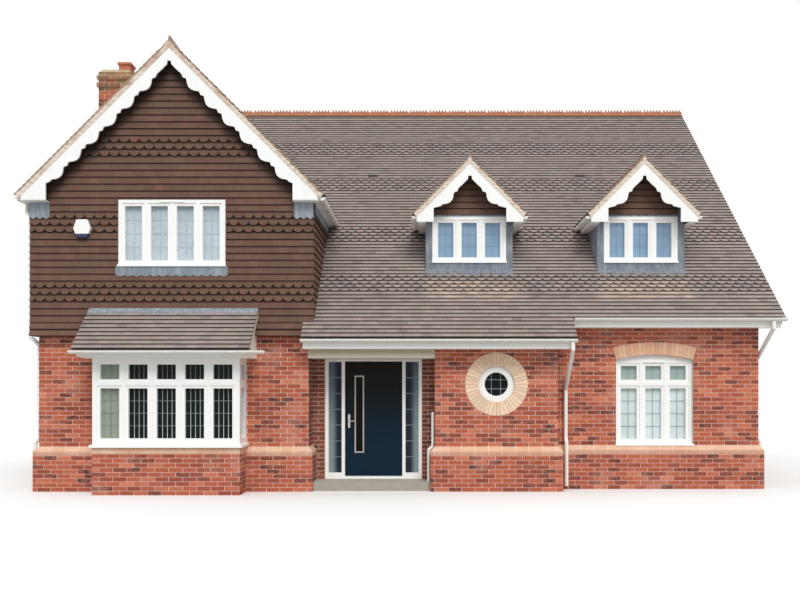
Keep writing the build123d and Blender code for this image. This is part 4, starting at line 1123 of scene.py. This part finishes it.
def chimney_panels():
    """Four faces of the stack over the roof, and the two oversailing courses."""
    course = brick_steps()[1]
    cap, courses = 0.060, 40
    low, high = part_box("chimney_stack")
    top = high.z - cap
    left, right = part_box("rear_wall")[0].x + BAND_OUT, high.x - BAND_OUT
    front, rear = low.y + BAND_OUT, high.y - BAND_OUT
    wide, deep = right - left, rear - front
    faces = [("front", left, front, wide), ("right", right, front, deep),
             ("rear", right, rear, wide), ("left", left, rear, deep)]
    panels = []
    for seed, face in enumerate(faces):
        wall = Wall(*face, top)
        panels.append(brick_panel(wall, 0, top - courses * course, top, 90 + seed))
        for band in (2, 4):
            level = top - band * course
            panels.append(brick_panel(wall, BAND_OUT, level, level + course,
                                      100 + 10 * band + seed))
    return panels


class HOUSE_OT_bricks(Operator):
    """Lays the facing bricks of every wall, proud of their mortar"""
    bl_idname = "house.bricks"
    bl_label = "Lay bricks"

    def execute(self, context):
        top = PLINTH_TOP - 2 * brick_steps()[1]
        panels, plinths, corners = [], [], []
        for index, (name, wall) in enumerate(house_walls().items()):
            panel = brick_panel(wall, 0, wall.low, wall.high, index)
            panels.append(cut(panel, wall_holes(name)))
            if wall.plinth:
                panel = brick_panel(wall, PLINTH_OUT, 0, top, index + 50)
                plinths.append(cut_plinth(name, panel))
                if wall.start == CONVEX:
                    corners.append(plinth_corner(wall))
        show(panels, "wall_bricks", "brick")
        show(corners, "plinth_corners", "joint")
        show(plinths + bay_panels(), "plinth_bricks", "brick")
        show(chimney_panels(), "chimney_bricks", "brick")
        return {"FINISHED"}


# Buff bricks

def gauged_bricks(inner, outer, count, angle, joint, seed):
    """Tapered bricks round a centre at the origin, the first of them at the left."""
    size = sizes()
    wide = outer * angle - joint
    brick = box((-wide / 2, -size.brick_proud - 0.001, inner),
                (wide / 2, size.brick_deep, outer))
    edit(brick, lambda normal: normal.z < -0.5, bpy.ops.transform.resize, "FACE",
         value=((inner * angle - joint) / wide, 1, 1))
    bpy.ops.object.empty_add(rotation=(0, angle, 0))
    pivot = bpy.context.object
    turn(brick, frame_at((0, 0, 0), -angle * (count - 1) / 2, "Y"))
    modify(brick, "ARRAY", count=count, use_relative_offset=False, use_object_offset=True,
           offset_object=pivot)
    bpy.data.objects.remove(pivot)
    give_tones(brick, 6, seed)
    return brick


def arch(low, high, seed):
    """A camber arch over a window."""
    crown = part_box("right_window_frame")[1].z
    inner = (ARCH_HALF ** 2 + ARCH_RISE ** 2) / (2 * ARCH_RISE)
    count = 20
    angle = 2 * math.asin(ARCH_HALF / inner) / count
    bricks = gauged_bricks(inner, inner + ARCH_DEEP, count, angle, joint=0.005, seed=seed)
    return turn(move(bricks, z=crown - inner), on_wall(low, high))


def ring():
    """The ring of the round window."""
    low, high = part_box("round_window_surround")
    count = 44
    bricks = gauged_bricks(span(*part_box("round_window_frame"))[1], span(low, high)[1], count,
                           2 * math.pi / count, joint=0.006, seed=250)
    return turn(move(bricks, z=(low.z + high.z) / 2), on_wall(low, high))


def bay_course():
    """A plain buff course on three sides of the bay, under its sill."""
    joint = sizes().joint
    low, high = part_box("bay_base")
    step = brick_steps()[0]
    course = box((low.x - BUFF_OUT, low.y - BUFF_OUT, PLINTH_EDGE),
                 (high.x + BUFF_OUT, high.y, high.z - 0.002))
    count = math.ceil((high.x - low.x) / step)
    first = low.x + 0.13
    slot = box((first, -FAR, 0), (first + joint, low.y - 0.003, 1))
    cut(course, [repeat(slot, count, (step, 0, 0)),
                 box(low + Vector((0.02, 0.02, 0)), high + Vector((-0.02, 1, 1)))])
    give_tones(course, 1, 290)
    return course


def splayed_course(wall, seed):
    """Bricks whose top slopes back to the wall, mitred at the corners."""
    size = sizes()
    step, course = brick_steps()
    brick = box((-2 * step, -PLINTH_OUT - size.brick_proud, PLINTH_TOP - 2 * course),
                (-2 * step + size.brick_long, size.brick_deep, PLINTH_TOP + size.brick_deep))
    drop_edge(brick, lambda spot: spot.y < 0)
    repeat(brick, math.ceil(wall.length / step) + 4, (step, 0, 0))
    give_tones(brick, 6, seed)
    keep(brick, (-0.5, -1, 0), (wall.length + 0.5, 1, 2))
    cut(brick, [turn(box((min(0, way), -1, -1), (max(0, way), 1, 2)),
                     frame_at((x, 0, 0), math.radians(45) * way * kind))
                for x, kind, way in ((0, wall.start, -1), (wall.length, wall.end, 1))])
    return turn(brick, facing(wall.side, (wall.x, wall.y, 0)))


class HOUSE_OT_buff_bricks(Operator):
    """Lays the buff arches, the round window's ring and the splayed plinth course"""
    bl_idname = "house.buff_bricks"
    bl_label = "Lay buff bricks"

    def execute(self, context):
        arches = [arch(*pair, 200 + index)
                  for index, pair in enumerate(solids("window_arches"))]
        show(arches, "buff_arch_bricks", "buff")
        show([ring()], "round_window_bricks", "ring")
        courses = [cut_plinth(name, splayed_course(wall, 300 + index))
                   for index, (name, wall) in enumerate(house_walls().items())
                   if wall.plinth]
        show(courses + [bay_course()], "plinth_top_bricks", "plinth")
        return {"FINISHED"}


# Tiles

def tile_courses(wide, gauge, proud, count, rows, first, rounded, seed):
    """Some courses of tiles lying flat: X along them, Y up the slope, Z out of it."""
    size = sizes()
    thick = size.tile_thick
    tile = box((size.tile_gap / 2, 0, 0), (wide - size.tile_gap / 2, size.tile_long, thick))
    if rounded:
        edit(tile, lambda ends: abs(ends[0].z - ends[1].z) > thick / 2 and ends[0].y < thick / 2,
             bpy.ops.mesh.bevel, "EDGE", offset=size.tile_round, segments=3, affect="EDGES")
    faces = len(tile.data.polygons)
    corners = [tile.data.vertices[corner.vertex_index].co for corner in tile.data.loops]
    tile.data.uv_layers.active.data.foreach_set(
        "uv", [part for spot in corners for part in (spot.x / wide, spot.y / gauge)])
    turn(tile, frame_at((0, 0, proud - thick), -math.atan(thick / gauge), "X"))
    move(tile, wide / 2 * (first % 2) - wide, first * gauge)
    repeat(tile, count + 2, (wide, 0, 0))
    parts = []
    if rows % 2:
        parts.append(move(duplicate(tile), 0, (rows - 1) * gauge))
    if rows > 1:
        repeat(tile, 2, (wide / 2 if first % 2 == 0 else -wide / 2, gauge, 0))
        repeat(tile, rows // 2, (0, 2 * gauge, 0))
        parts.append(tile)
    else:
        bpy.data.objects.remove(tile)
    for index, part in enumerate(parts):
        give_tones(part, faces, seed * 10 + index)
    return parts


def tile_field(length, rows, bands, kind, seed, first=0):
    """A rectangle of tiles whose lowest course has its tails at y = 0."""
    size = sizes()
    wide, gauge, proud = (
        (size.roof_tile_wide, size.roof_gauge, size.roof_proud) if kind == "roof"
        else (size.hanging_wide, size.hanging_gauge, size.hanging_proud))
    parts = []
    edges = sorted({first, rows, *[edge for band in bands for edge in band
                                   if first < edge < rows]})
    for low, high in zip(edges, edges[1:]):
        rounded = any(start <= low < end for start, end in bands)
        parts += tile_courses(wide, gauge, proud, math.ceil(length / wide), high - low, low,
                              rounded, seed + low)
    return keep(join(parts), (0, -1, -1), (length, rows * gauge + 1, 1))


def slope_frame(side, corner):
    """A roof slope's frame: X along the eave, Y up the slope and Z out of it."""
    return (facing(side, corner) @ frame_at((0, 0, 0), ROOF_PITCH, "X")
            @ frame_at((0, -EAVE_DROP, 0)))


def upright_frame(side, corner):
    return facing(side, corner) @ frame_at((0, 0, 0), math.pi / 2, "X")


def diamond(middle, ridge, half, back, front):
    """A block that fills a gabled roof from eave to ridge, its ridge along Y."""
    side = half * math.sqrt(2)
    block = box((-side / 2, back, -side / 2), (side / 2, front, side / 2))
    return turn(block, frame_at((middle, 0, ridge - half), ROOF_PITCH, "Y"))


def rows_on(run, clear=RIDGE_CLEAR):
    """How many courses a slope takes, by its run on plan."""
    return int((run / math.cos(ROOF_PITCH) + EAVE_DROP - clear) / sizes().roof_gauge)


def wing_body():
    """What the wing takes out of the main roof's tiles."""
    low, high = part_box("wing_roof")
    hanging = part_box("wing_tile_hanging_sides")
    middle, half = span(low, high)
    back = -(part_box("main_roof_rear")[1].z - (high.z - half))
    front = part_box("wing_tile_hanging_front")[0].y
    return [diamond(middle, high.z, half, -FAR, 0),
            box((hanging[0].x, front, 0), (hanging[1].x, back, high.z - half)),
            box((low.x - 0.2, -FAR, 0), (middle, back, high.z - half))]


def dormer_bodies(name):
    """What a row of dormers takes out of the tiles."""
    blocks = []
    for (low, high), wall in zip(solids(name + "_roofs"), solids(name + "_walls")):
        middle, half = span(low, high)
        back, front = (wall[0].y, 0) if low.y < 0 else (0, wall[1].y)
        blocks.append(diamond(middle, high.z, half, back, front))
        blocks.append(box((wall[0].x, back, 0), (wall[1].x, front, high.z - half)))
    return blocks


def gable_tiles(node, seed, side):
    """Both slopes of the small roofs whose ridges run front to back."""
    verge = sizes().verge
    parts = []
    for index, (low, high) in enumerate(solids(node)):
        middle, half = span(low, high)
        front, back = (low.y - verge, high.y) if side > 0 else (low.y, high.y + verge)
        for number, (slope, x, y) in enumerate((("right", middle + half, front),
                                                ("left", middle - half, back))):
            field = tile_field(back - front, rows_on(half), ROOF_BANDS, "roof",
                               seed + 40 * index + 20 * number)
            parts.append(turn(field, slope_frame(slope, (x, y, high.z - half))))
    below = turn(box((-FAR, -FAR, -FAR), (FAR, FAR, 0)),
                 frame_at((0, 0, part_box("main_roof_rear")[1].z), ROOF_PITCH * side, "X"))
    stack = [grown(*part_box("chimney_stack"))] if node == "wing_roof" else []
    return cut(join(parts), [below, *stack])


def verge_mortar(node, side):
    """A band of pointing between the verge tiles and the bargeboards, mitred on top."""
    board, proud, deep = 0.030, 0.006, 0.080
    bands = []
    for low, high in solids(node):
        middle, half = span(low, high)
        end = low.y if side > 0 else high.y
        reach = -(board + proud) * side
        for slope, way in (("right", 1), ("left", -1)):
            band = box((min(0, reach * way), EAVE_DROP * 0.25, -deep),
                       (max(0, reach * way), half * 1.6, -0.001))
            turn(band, slope_frame(slope, (middle + half * way, end, high.z - half)))
            past = sorted((middle, middle - FAR * way))
            bands.append(cut(band, [box((past[0], -FAR, 0), (past[1], FAR, FAR))]))
    return bands


class HOUSE_OT_roof_tiles(Operator):
    """Lays the plain and ornamental tiles of every roof slope"""
    bl_idname = "house.roof_tiles"
    bl_label = "Lay roof tiles"

    def execute(self, context):
        (left, eave, _), (right, _, ridge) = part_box("main_roof_front")
        step_rows, lap = 5, 0.07
        mid_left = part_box("porch_beam")[0].x - lap
        low_part = tile_field(MID_EAVE_RIGHT - mid_left, step_rows, (), "roof", 100)
        turn(low_part, slope_frame("front", (mid_left, eave, ridge + eave)))
        high_part = tile_field(right - left, rows_on(-eave), ROOF_BANDS, "roof", 200,
                               step_rows)
        turn(high_part, slope_frame("front", (left, eave, ridge + eave)))
        front = join([low_part, high_part])
        vents = [grown(*pair, x=0.004, y=0.02, z=0.02) for pair in solids("roof_vents")]
        cut(front, [*wing_body(), *dormer_bodies("front_dormer"),
                    grown(*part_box("chimney_stack")), *vents])
        show([front], "front_roof_tiles", "roof_tile")

        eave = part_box("main_roof_rear")[1].y
        rear = tile_field(right - left, rows_on(eave), ROOF_BANDS, "roof", 400)
        turn(rear, slope_frame("rear", (right, eave, ridge - eave)))
        cut(rear, dormer_bodies("rear_dormer"))
        show([rear], "rear_roof_tiles", "roof_tile")

        for node, name, seed, side in (
                ("wing_roof", "wing_roof_tiles", 500, 1),
                ("front_dormer_roofs", "front_dormer_tiles", 600, 1),
                ("rear_dormer_roofs", "rear_dormer_tiles", 700, -1)):
            tiles = gable_tiles(node, seed, side)
            show(verge_mortar(node, side), node + "_verge", "verge_mortar")
            show([tiles], name, "roof_tile")

        low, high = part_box("bay_roof")
        field = tile_field(high.x - low.x, rows_on(high.y - low.y, 0), (), "roof", 800)
        turn(field, slope_frame("front", (low.x, low.y, low.z + TILE_LAYER)))
        show([field], "bay_roof_tiles", "roof_tile")
        return {"FINISHED"}


def hang(rows, bands, seed, side, length, corner, first=0):
    """A rectangle of hanging tiles on a wall."""
    field = tile_field(length, rows, bands, "hanging", seed, first)
    return turn(field, upright_frame(side, corner))


def wing_front():
    gauge = sizes().hanging_gauge
    low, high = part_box("wing_tile_hanging_front")
    roof_low, roof_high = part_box("wing_roof")
    field = hang(int((high.z - low.z) / gauge), HANGING_BANDS, 900, "front", high.x - low.x,
                 (low.x, WING_FACE, low.z), 2)
    return cut(field, [grown(*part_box("wing_window_frame"), y=1),
                       *over_slopes(roof_high.z - ROOF_SLAB, "Y", span(roof_low, roof_high)[0])])


def wing_foot():
    """Two courses that swing out over the kick at the foot."""
    size = sizes()
    low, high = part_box("wing_tile_hanging_front")
    courses = []
    upper_out = 0.024
    for row, out in enumerate((WING_FACE - low.y, upper_out)):
        field = tile_field(high.x - low.x, row + 1, (), "hanging", 920 + row, row)
        move(field, y=-row * size.hanging_gauge)
        turn(field, frame_at((0, 0, 0), -math.atan(out / size.tile_long), "X"))
        move(field, y=row * size.hanging_gauge, z=out)
        courses.append(turn(field, upright_frame("front", (low.x, WING_FACE, low.z))))
    return courses


def wing_sides():
    low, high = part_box("wing_tile_hanging_sides")
    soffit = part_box("wing_bargeboard")[0].z
    rows = math.ceil((soffit - low.z) / sizes().hanging_gauge)
    return [hang(rows, HANGING_BANDS, 950, side, high.y - WING_FACE, corner)
            for side, corner in (("right", (high.x, WING_FACE, low.z)),
                                 ("left", (low.x, high.y, low.z)))]


def dormer_gable(low, high, seed):
    """Tiles over a dormer's window, up to its roof."""
    lead_strip = 0.035
    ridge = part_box("front_dormer_roofs")[1].z - DORMER_SLAB
    rows = int((ridge - high.z) / sizes().hanging_gauge) + 1
    middle, half = span(low, high)
    field = tile_field(high.x - low.x, rows, (), "hanging", seed)
    move(field, -half, high.z + lead_strip)
    side = side_of(low, high)
    turn(field, upright_frame(side, (middle, low.y if side == "front" else high.y, 0)))
    return cut(field, over_slopes(ridge, "Y", middle))


class HOUSE_OT_tile_hanging(Operator):
    """Hangs the brown tiles of the wing and the dormers' gables"""
    bl_idname = "house.tile_hanging"
    bl_label = "Hang wall tiles"

    def execute(self, context):
        show([wing_front(), *wing_foot(), *wing_sides()], "wing_hanging_tiles",
             "hanging_tile")
        gables = [dormer_gable(*pair, 980 + index)
                  for index, pair in enumerate(solids("dormer_window_frames"))]
        show(gables, "gable_hanging_tiles", "hanging_tile")
        return {"FINISHED"}


# Windows

def pane_grid(left, step, columns, rows):
    """The panes between a frame's bars, as (x, z, wide, high)."""
    return [(left + column * step + SASH_WIDE, bottom + SASH_WIDE,
             step - FRAME_WIDE - 2 * SASH_WIDE, head - bottom - 2 * SASH_WIDE)
            for column in range(columns) for bottom, head in rows]


def panes_of(low, high):
    """The panes of a casement frame, seen from its middle."""
    wide, top = width_of(low, high), high.z
    rows = [(low.z + FRAME_WIDE, top - FRAME_WIDE)]
    columns = 2 if low.z < PLINTH_EDGE else round(wide / LIGHT_WIDE)
    if columns == 3 and low.z < TRANSOM:
        rows = [(low.z + FRAME_WIDE, TRANSOM - FRAME_WIDE / 2),
                (TRANSOM + FRAME_WIDE / 2, top - ARCH_RISE - FRAME_WIDE)]
    return pane_grid(-wide / 2 + FRAME_WIDE, (wide - FRAME_WIDE) / columns, columns, rows)


def came_grid(pane, y, across, up):
    """Leads over one pane: so many upright ones and so many level ones."""
    x, z, wide, high = pane
    half = sizes().lead_wide / 2
    thin = 0.002
    uprights = [x + wide * (index + 1) / (across + 1) for index in range(across)]
    levels = [z + high * (index + 1) / (up + 1) for index in range(up)]
    return ([box((at - half, y - thin, z), (at + half, y + thin / 2, z + high))
             for at in uprights]
            + [box((x, y - thin * 0.9, at - half), (x + wide, y + thin / 2, at + half))
               for at in levels])


def bay_leads(upright):
    """The bay's leads: only the close upright ones, or all the others."""
    (left, face, _), (right, _, _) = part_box("bay_base")
    bottom, top = [corner.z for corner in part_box("bay_window_frame")]
    sill = 0.044
    step = (right - left - 2 * BAY_CORNER + FRAME_WIDE) / BAY_LIGHTS
    rows = [(bottom + sill + FRAME_WIDE, TRANSOM - FRAME_WIDE / 2),
            (TRANSOM + FRAME_WIDE / 2, top - FRAME_WIDE)]
    leads = []
    for index, pane in enumerate(pane_grid(left + BAY_CORNER, step, BAY_LIGHTS, rows)):
        curtained = index < 2
        if upright and not curtained:
            leads += came_grid(pane, face + FRAME_DEEP, 3, 0)
        elif not upright:
            leads += came_grid(pane, face + FRAME_DEEP, int(curtained), 0 if index % 2 else 3)
    return leads


def round_leads():
    low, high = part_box("round_window_frame")
    middle = (low + high) / 2
    glass, share = 0.197, 0.39
    half = sizes().lead_wide / 2
    leads = []
    for across in (-share * glass, share * glass):
        reach = math.sqrt(glass ** 2 - across ** 2)
        leads.append(box((middle.x + across - half, high.y - 0.002, middle.z - reach),
                         (middle.x + across + half, high.y + 0.001, middle.z + reach)))
        leads.append(box((middle.x - reach, high.y - 0.003, middle.z + across - half),
                         (middle.x + reach, high.y, middle.z + across + half)))
    return leads


def side_light_leads():
    low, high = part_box("door_frame")
    door_low, door_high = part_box("front_door")
    post, gap, recess = 0.055, 0.008, 0.04
    bottom, top = door_low.z + post, door_high.z
    leads = []
    for left, right in ((low.x + post, door_low.x - gap - post),
                        (door_high.x + gap + post, high.x - post)):
        leads += came_grid((left, bottom, right - left, top - bottom), low.y + recess, 0, 6)
    return leads


class HOUSE_OT_window_details(Operator):
    """Adds the leads of every pane, the sills and the trickle vents"""
    bl_idname = "house.window_details"
    bl_label = "Add window details"

    def execute(self, context):
        flush = [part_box("wing_window_frame"), *solids("dormer_window_frames")]
        deep = [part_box("right_window_frame"), *solids("rear_and_side_frames")]
        leads, sills = [], []
        sill_high, past, vent_wide, vent_foot, vent_high = 0.032, 0.01, 0.4, 0.045, 0.015
        for low, high in flush + deep:
            place = on_wall(low, high)
            for pane in panes_of(low, high):
                level = max(0, round(pane[3] / LEAD_STEP) - 1)
                grid = join(came_grid(pane, FRAME_DEEP - 0.001, 1, level))
                leads.append(turn(grid, place))
            half = width_of(low, high) / 2 + past
            if low.z > PLINTH_EDGE:
                out = 0.038 if (low, high) in flush else 0.09
                sills.append(turn(box((-half, -out, low.z), (half, 0, low.z + sill_high)), place))
            if side_of(low, high) == "front" and low.y < FRONT_PART:
                foot = high.z - (ARCH_RISE if low.z < TRANSOM else 0) - vent_foot
                sills.append(turn(box((-vent_wide / 2, -0.012, foot),
                                      (vent_wide / 2, 0, foot + vent_high)), place))
        leads += round_leads() + side_light_leads() + bay_leads(False)
        show(leads, "window_leads", "came")
        show(bay_leads(True), "bay_upright_leads", "bright_came")
        show(sills, "window_sills", "white_board")
        return {"FINISHED"}


# Curtains


def hung_sheet(name, finish, low, high, y, pitch, depth):
    """A curtain in even folds between two corners."""
    wide, tall = high[0] - low[0], high[1] - low[1]
    folds = round(wide / pitch)
    pitch = wide / folds
    wave = bpy.data.textures.new("folds", "WOOD")
    wave.wood_type = "BANDS"
    wave.noise_basis_2 = "SIN"
    cloth = add("grid", x_subdivisions=folds * 12, y_subdivisions=1, size=1)
    natural, flat = 2 * math.pi / 10, 0.0001
    cloth.scale = (folds * natural, flat, 1)
    settle(cloth)
    modify(cloth, "DISPLACE", texture=wave, texture_coords="LOCAL", direction="Z",
           strength=2 * depth, mid_level=0.5)
    bpy.data.textures.remove(wave)
    turn(cloth, Matrix.Diagonal((pitch / natural, tall / flat, 1, 1)))
    turn(cloth, frame_at(((low[0] + high[0]) / 2, y, (low[1] + high[1]) / 2), math.pi / 2, "X"))
    bpy.ops.object.shade_smooth()
    show([cloth], name, finish)


class HOUSE_OT_curtains(Operator):
    """Hangs the nets and the curtain that show behind the front windows"""
    bl_idname = "house.curtains"
    bl_label = "Hang curtains"

    def execute(self, context):
        behind, clear = 0.10, 0.03
        low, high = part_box("right_window_frame")
        hung_sheet("right_window_net", "voile",
                   (low.x + clear, low.z + clear), (high.x - 0.12, high.z - ARCH_RISE),
                   low.y + FRAME_DEEP + behind, 0.11, 0.014)
        low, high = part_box("wing_window_frame")
        hung_sheet("wing_window_net", "net",
                   (low.x + clear, low.z + clear), (high.x - clear, high.z - 0.14),
                   low.y + FRAME_DEEP + behind, 0.10, 0.012)
        low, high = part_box("bay_base")
        bottom, top = [corner.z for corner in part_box("bay_window_frame")]
        hung_sheet("bay_curtain", "curtain",
                   (low.x + 0.09, bottom + 0.06), (low.x + 0.52, top - 0.02),
                   low.y + FRAME_DEEP + 0.09, 0.09, 0.022)
        return {"FINISHED"}


# Gutters and ridge

class HOUSE_OT_gutter_brackets(Operator):
    """Clips brackets round every gutter"""
    bl_idname = "house.gutter_brackets"
    bl_label = "Add gutter brackets"

    def execute(self, context):
        clips = []
        for low, high in solids("gutters"):
            along_x = high.x - low.x > high.y - low.y
            length = width_of(low, high)
            count = max(2, round(length / sizes().bracket_step))
            step = length / count
            clip = add("cylinder", vertices=24, radius=0.062, depth=0.026,
                       rotation=(0, math.pi / 2, 0))
            cut(clip, [box((-1, -1, -0.002), (1, 1, 1))])
            move(clip, step / 2)
            repeat(clip, count, (step, 0, 0))
            middle = (low + high) / 2
            place = (frame_at((low.x, middle.y, high.z)) if along_x
                     else frame_at((middle.x, low.y, high.z), math.pi / 2))
            clips.append(turn(clip, place))
        brackets = keep(join(clips), *CAD_BOX)
        show([brackets], "gutter_brackets", "cream_plastic")
        return {"FINISHED"}


class HOUSE_OT_ridge_comb(Operator):
    """Sets the pointed teeth of the crested ridge tiles along the main ridge"""
    bl_idname = "house.ridge_comb"
    bl_label = "Set ridge comb"

    def execute(self, context):
        low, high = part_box("main_roof_front")
        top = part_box("ridge_tiles")[1].z
        tiles, points = round((high.x - low.x) / RIDGE_TILE), 6
        tall, past, thin, close = 0.075, 0.033, 0.42, 0.92
        step = (high.x - low.x) / tiles / points
        comb = add("cone", vertices=4, radius1=0.048, radius2=0.010, depth=tall,
                   rotation=(0, 0, math.pi / 4))
        turn(comb, Matrix.Diagonal((1, thin, 1, 1)))
        move(comb, low.x + step * 0.6, 0, top + past - tall / 2)
        repeat(comb, points, (step * close, 0, 0))
        repeat(comb, tiles, (step * points, 0, 0))
        show([comb], "ridge_comb", "terracotta")
        return {"FINISHED"}


# Finishes, stage and camera

class HOUSE_OT_finishes(Operator):
    """Gives every carried-over part its finish"""
    bl_idname = "house.finishes"
    bl_label = "Finish the frame"

    def execute(self, context):
        for finish, names in NODE_FINISHES.items():
            for name in names:
                slots = nodes[name].data.materials
                slots.clear()
                slots.append(finish_of(finish))
        return {"FINISHED"}


class HOUSE_OT_stage(Operator):
    """Adds a pale floor, soft light and the camera"""
    bl_idname = "house.stage"
    bl_label = "Set the stage"

    def execute(self, context):
        bpy.ops.object.select_all(action="DESELECT")
        bpy.ops.mesh.primitive_plane_add(size=160)
        floor = bpy.context.object
        floor.name = "floor"
        look = Finish("floor")
        look.set("Base Color", look.mix(look.backdrop(), paint(150, 146, 138),
                                        paint(228, 228, 226)))
        look.set("Roughness", 0.9)
        floor.data.materials.append(look.material)

        scene = context.scene
        scene.world = bpy.data.worlds.new("sky")
        scene.world.use_nodes = True
        sky = Shading(scene.world.node_tree)
        light = sky.node("Background", {}, {"Color": (0.86, 0.93, 1.0), "Strength": 0.8})
        plain = sky.node("Background", {}, {"Color": (1, 1, 1), "Strength": 1.0})
        sky.feed(sky.tree.nodes["World Output"].inputs["Surface"],
                 sky.node("MixShader", {}, {0: sky.backdrop(), 1: light, 2: plain}))

        for turned, energy, spread in (((42, 0, 18), 1.65, 26), ((14, 0, -30), 1.0, 80)):
            bpy.ops.object.light_add(type="SUN",
                                     rotation=[math.radians(angle) for angle in turned])
            sun = bpy.context.object
            sun.data.energy = energy
            sun.data.angle = math.radians(spread)
            sun.data.color = (1.0, 0.97, 0.93)

        bpy.ops.object.camera_add(location=CAMERA_AT, rotation=(math.pi / 2, 0, 0))
        camera = bpy.context.object
        camera.data.lens = CAMERA_LENS
        camera.data.sensor_width = 36
        camera.data.shift_x, camera.data.shift_y = CAMERA_SHIFT
        scene.camera = camera
        scene.view_settings.view_transform = "Standard"
        return {"FINISHED"}


OPERATORS = (
    HOUSE_OT_stage, HOUSE_OT_finishes, HOUSE_OT_bricks, HOUSE_OT_roof_tiles,
    HOUSE_OT_tile_hanging, HOUSE_OT_buff_bricks, HOUSE_OT_window_details, HOUSE_OT_curtains,
    HOUSE_OT_gutter_brackets, HOUSE_OT_ridge_comb,
)


class HOUSE_PT_panel(Panel):
    """Lists the steps that dress the house"""
    bl_idname = "HOUSE_PT_panel"
    bl_label = "House"
    bl_space_type = "VIEW_3D"
    bl_region_type = "UI"
    bl_category = "House"

    def draw(self, context):
        for group in (context.scene.house_sizes, context.scene.house_colours):
            for name in group.__annotations__:
                self.layout.prop(group, name)
        for operator in OPERATORS:
            self.layout.operator(operator.bl_idname)


CLASSES = (HouseSizes, HouseColours, *OPERATORS, HOUSE_PT_panel)


def register():
    for part in CLASSES:
        bpy.utils.register_class(part)
    bpy.types.Scene.house_sizes = PointerProperty(type=HouseSizes)
    bpy.types.Scene.house_colours = PointerProperty(type=HouseColours)


def unregister():
    del bpy.types.Scene.house_colours
    del bpy.types.Scene.house_sizes
    for part in reversed(CLASSES):
        bpy.utils.unregister_class(part)


def main():
    register()
    for operator in OPERATORS:
        group, name = operator.bl_idname.split(".")
        getattr(getattr(bpy.ops, group), name)()


if __name__ == "__main__":
    main()
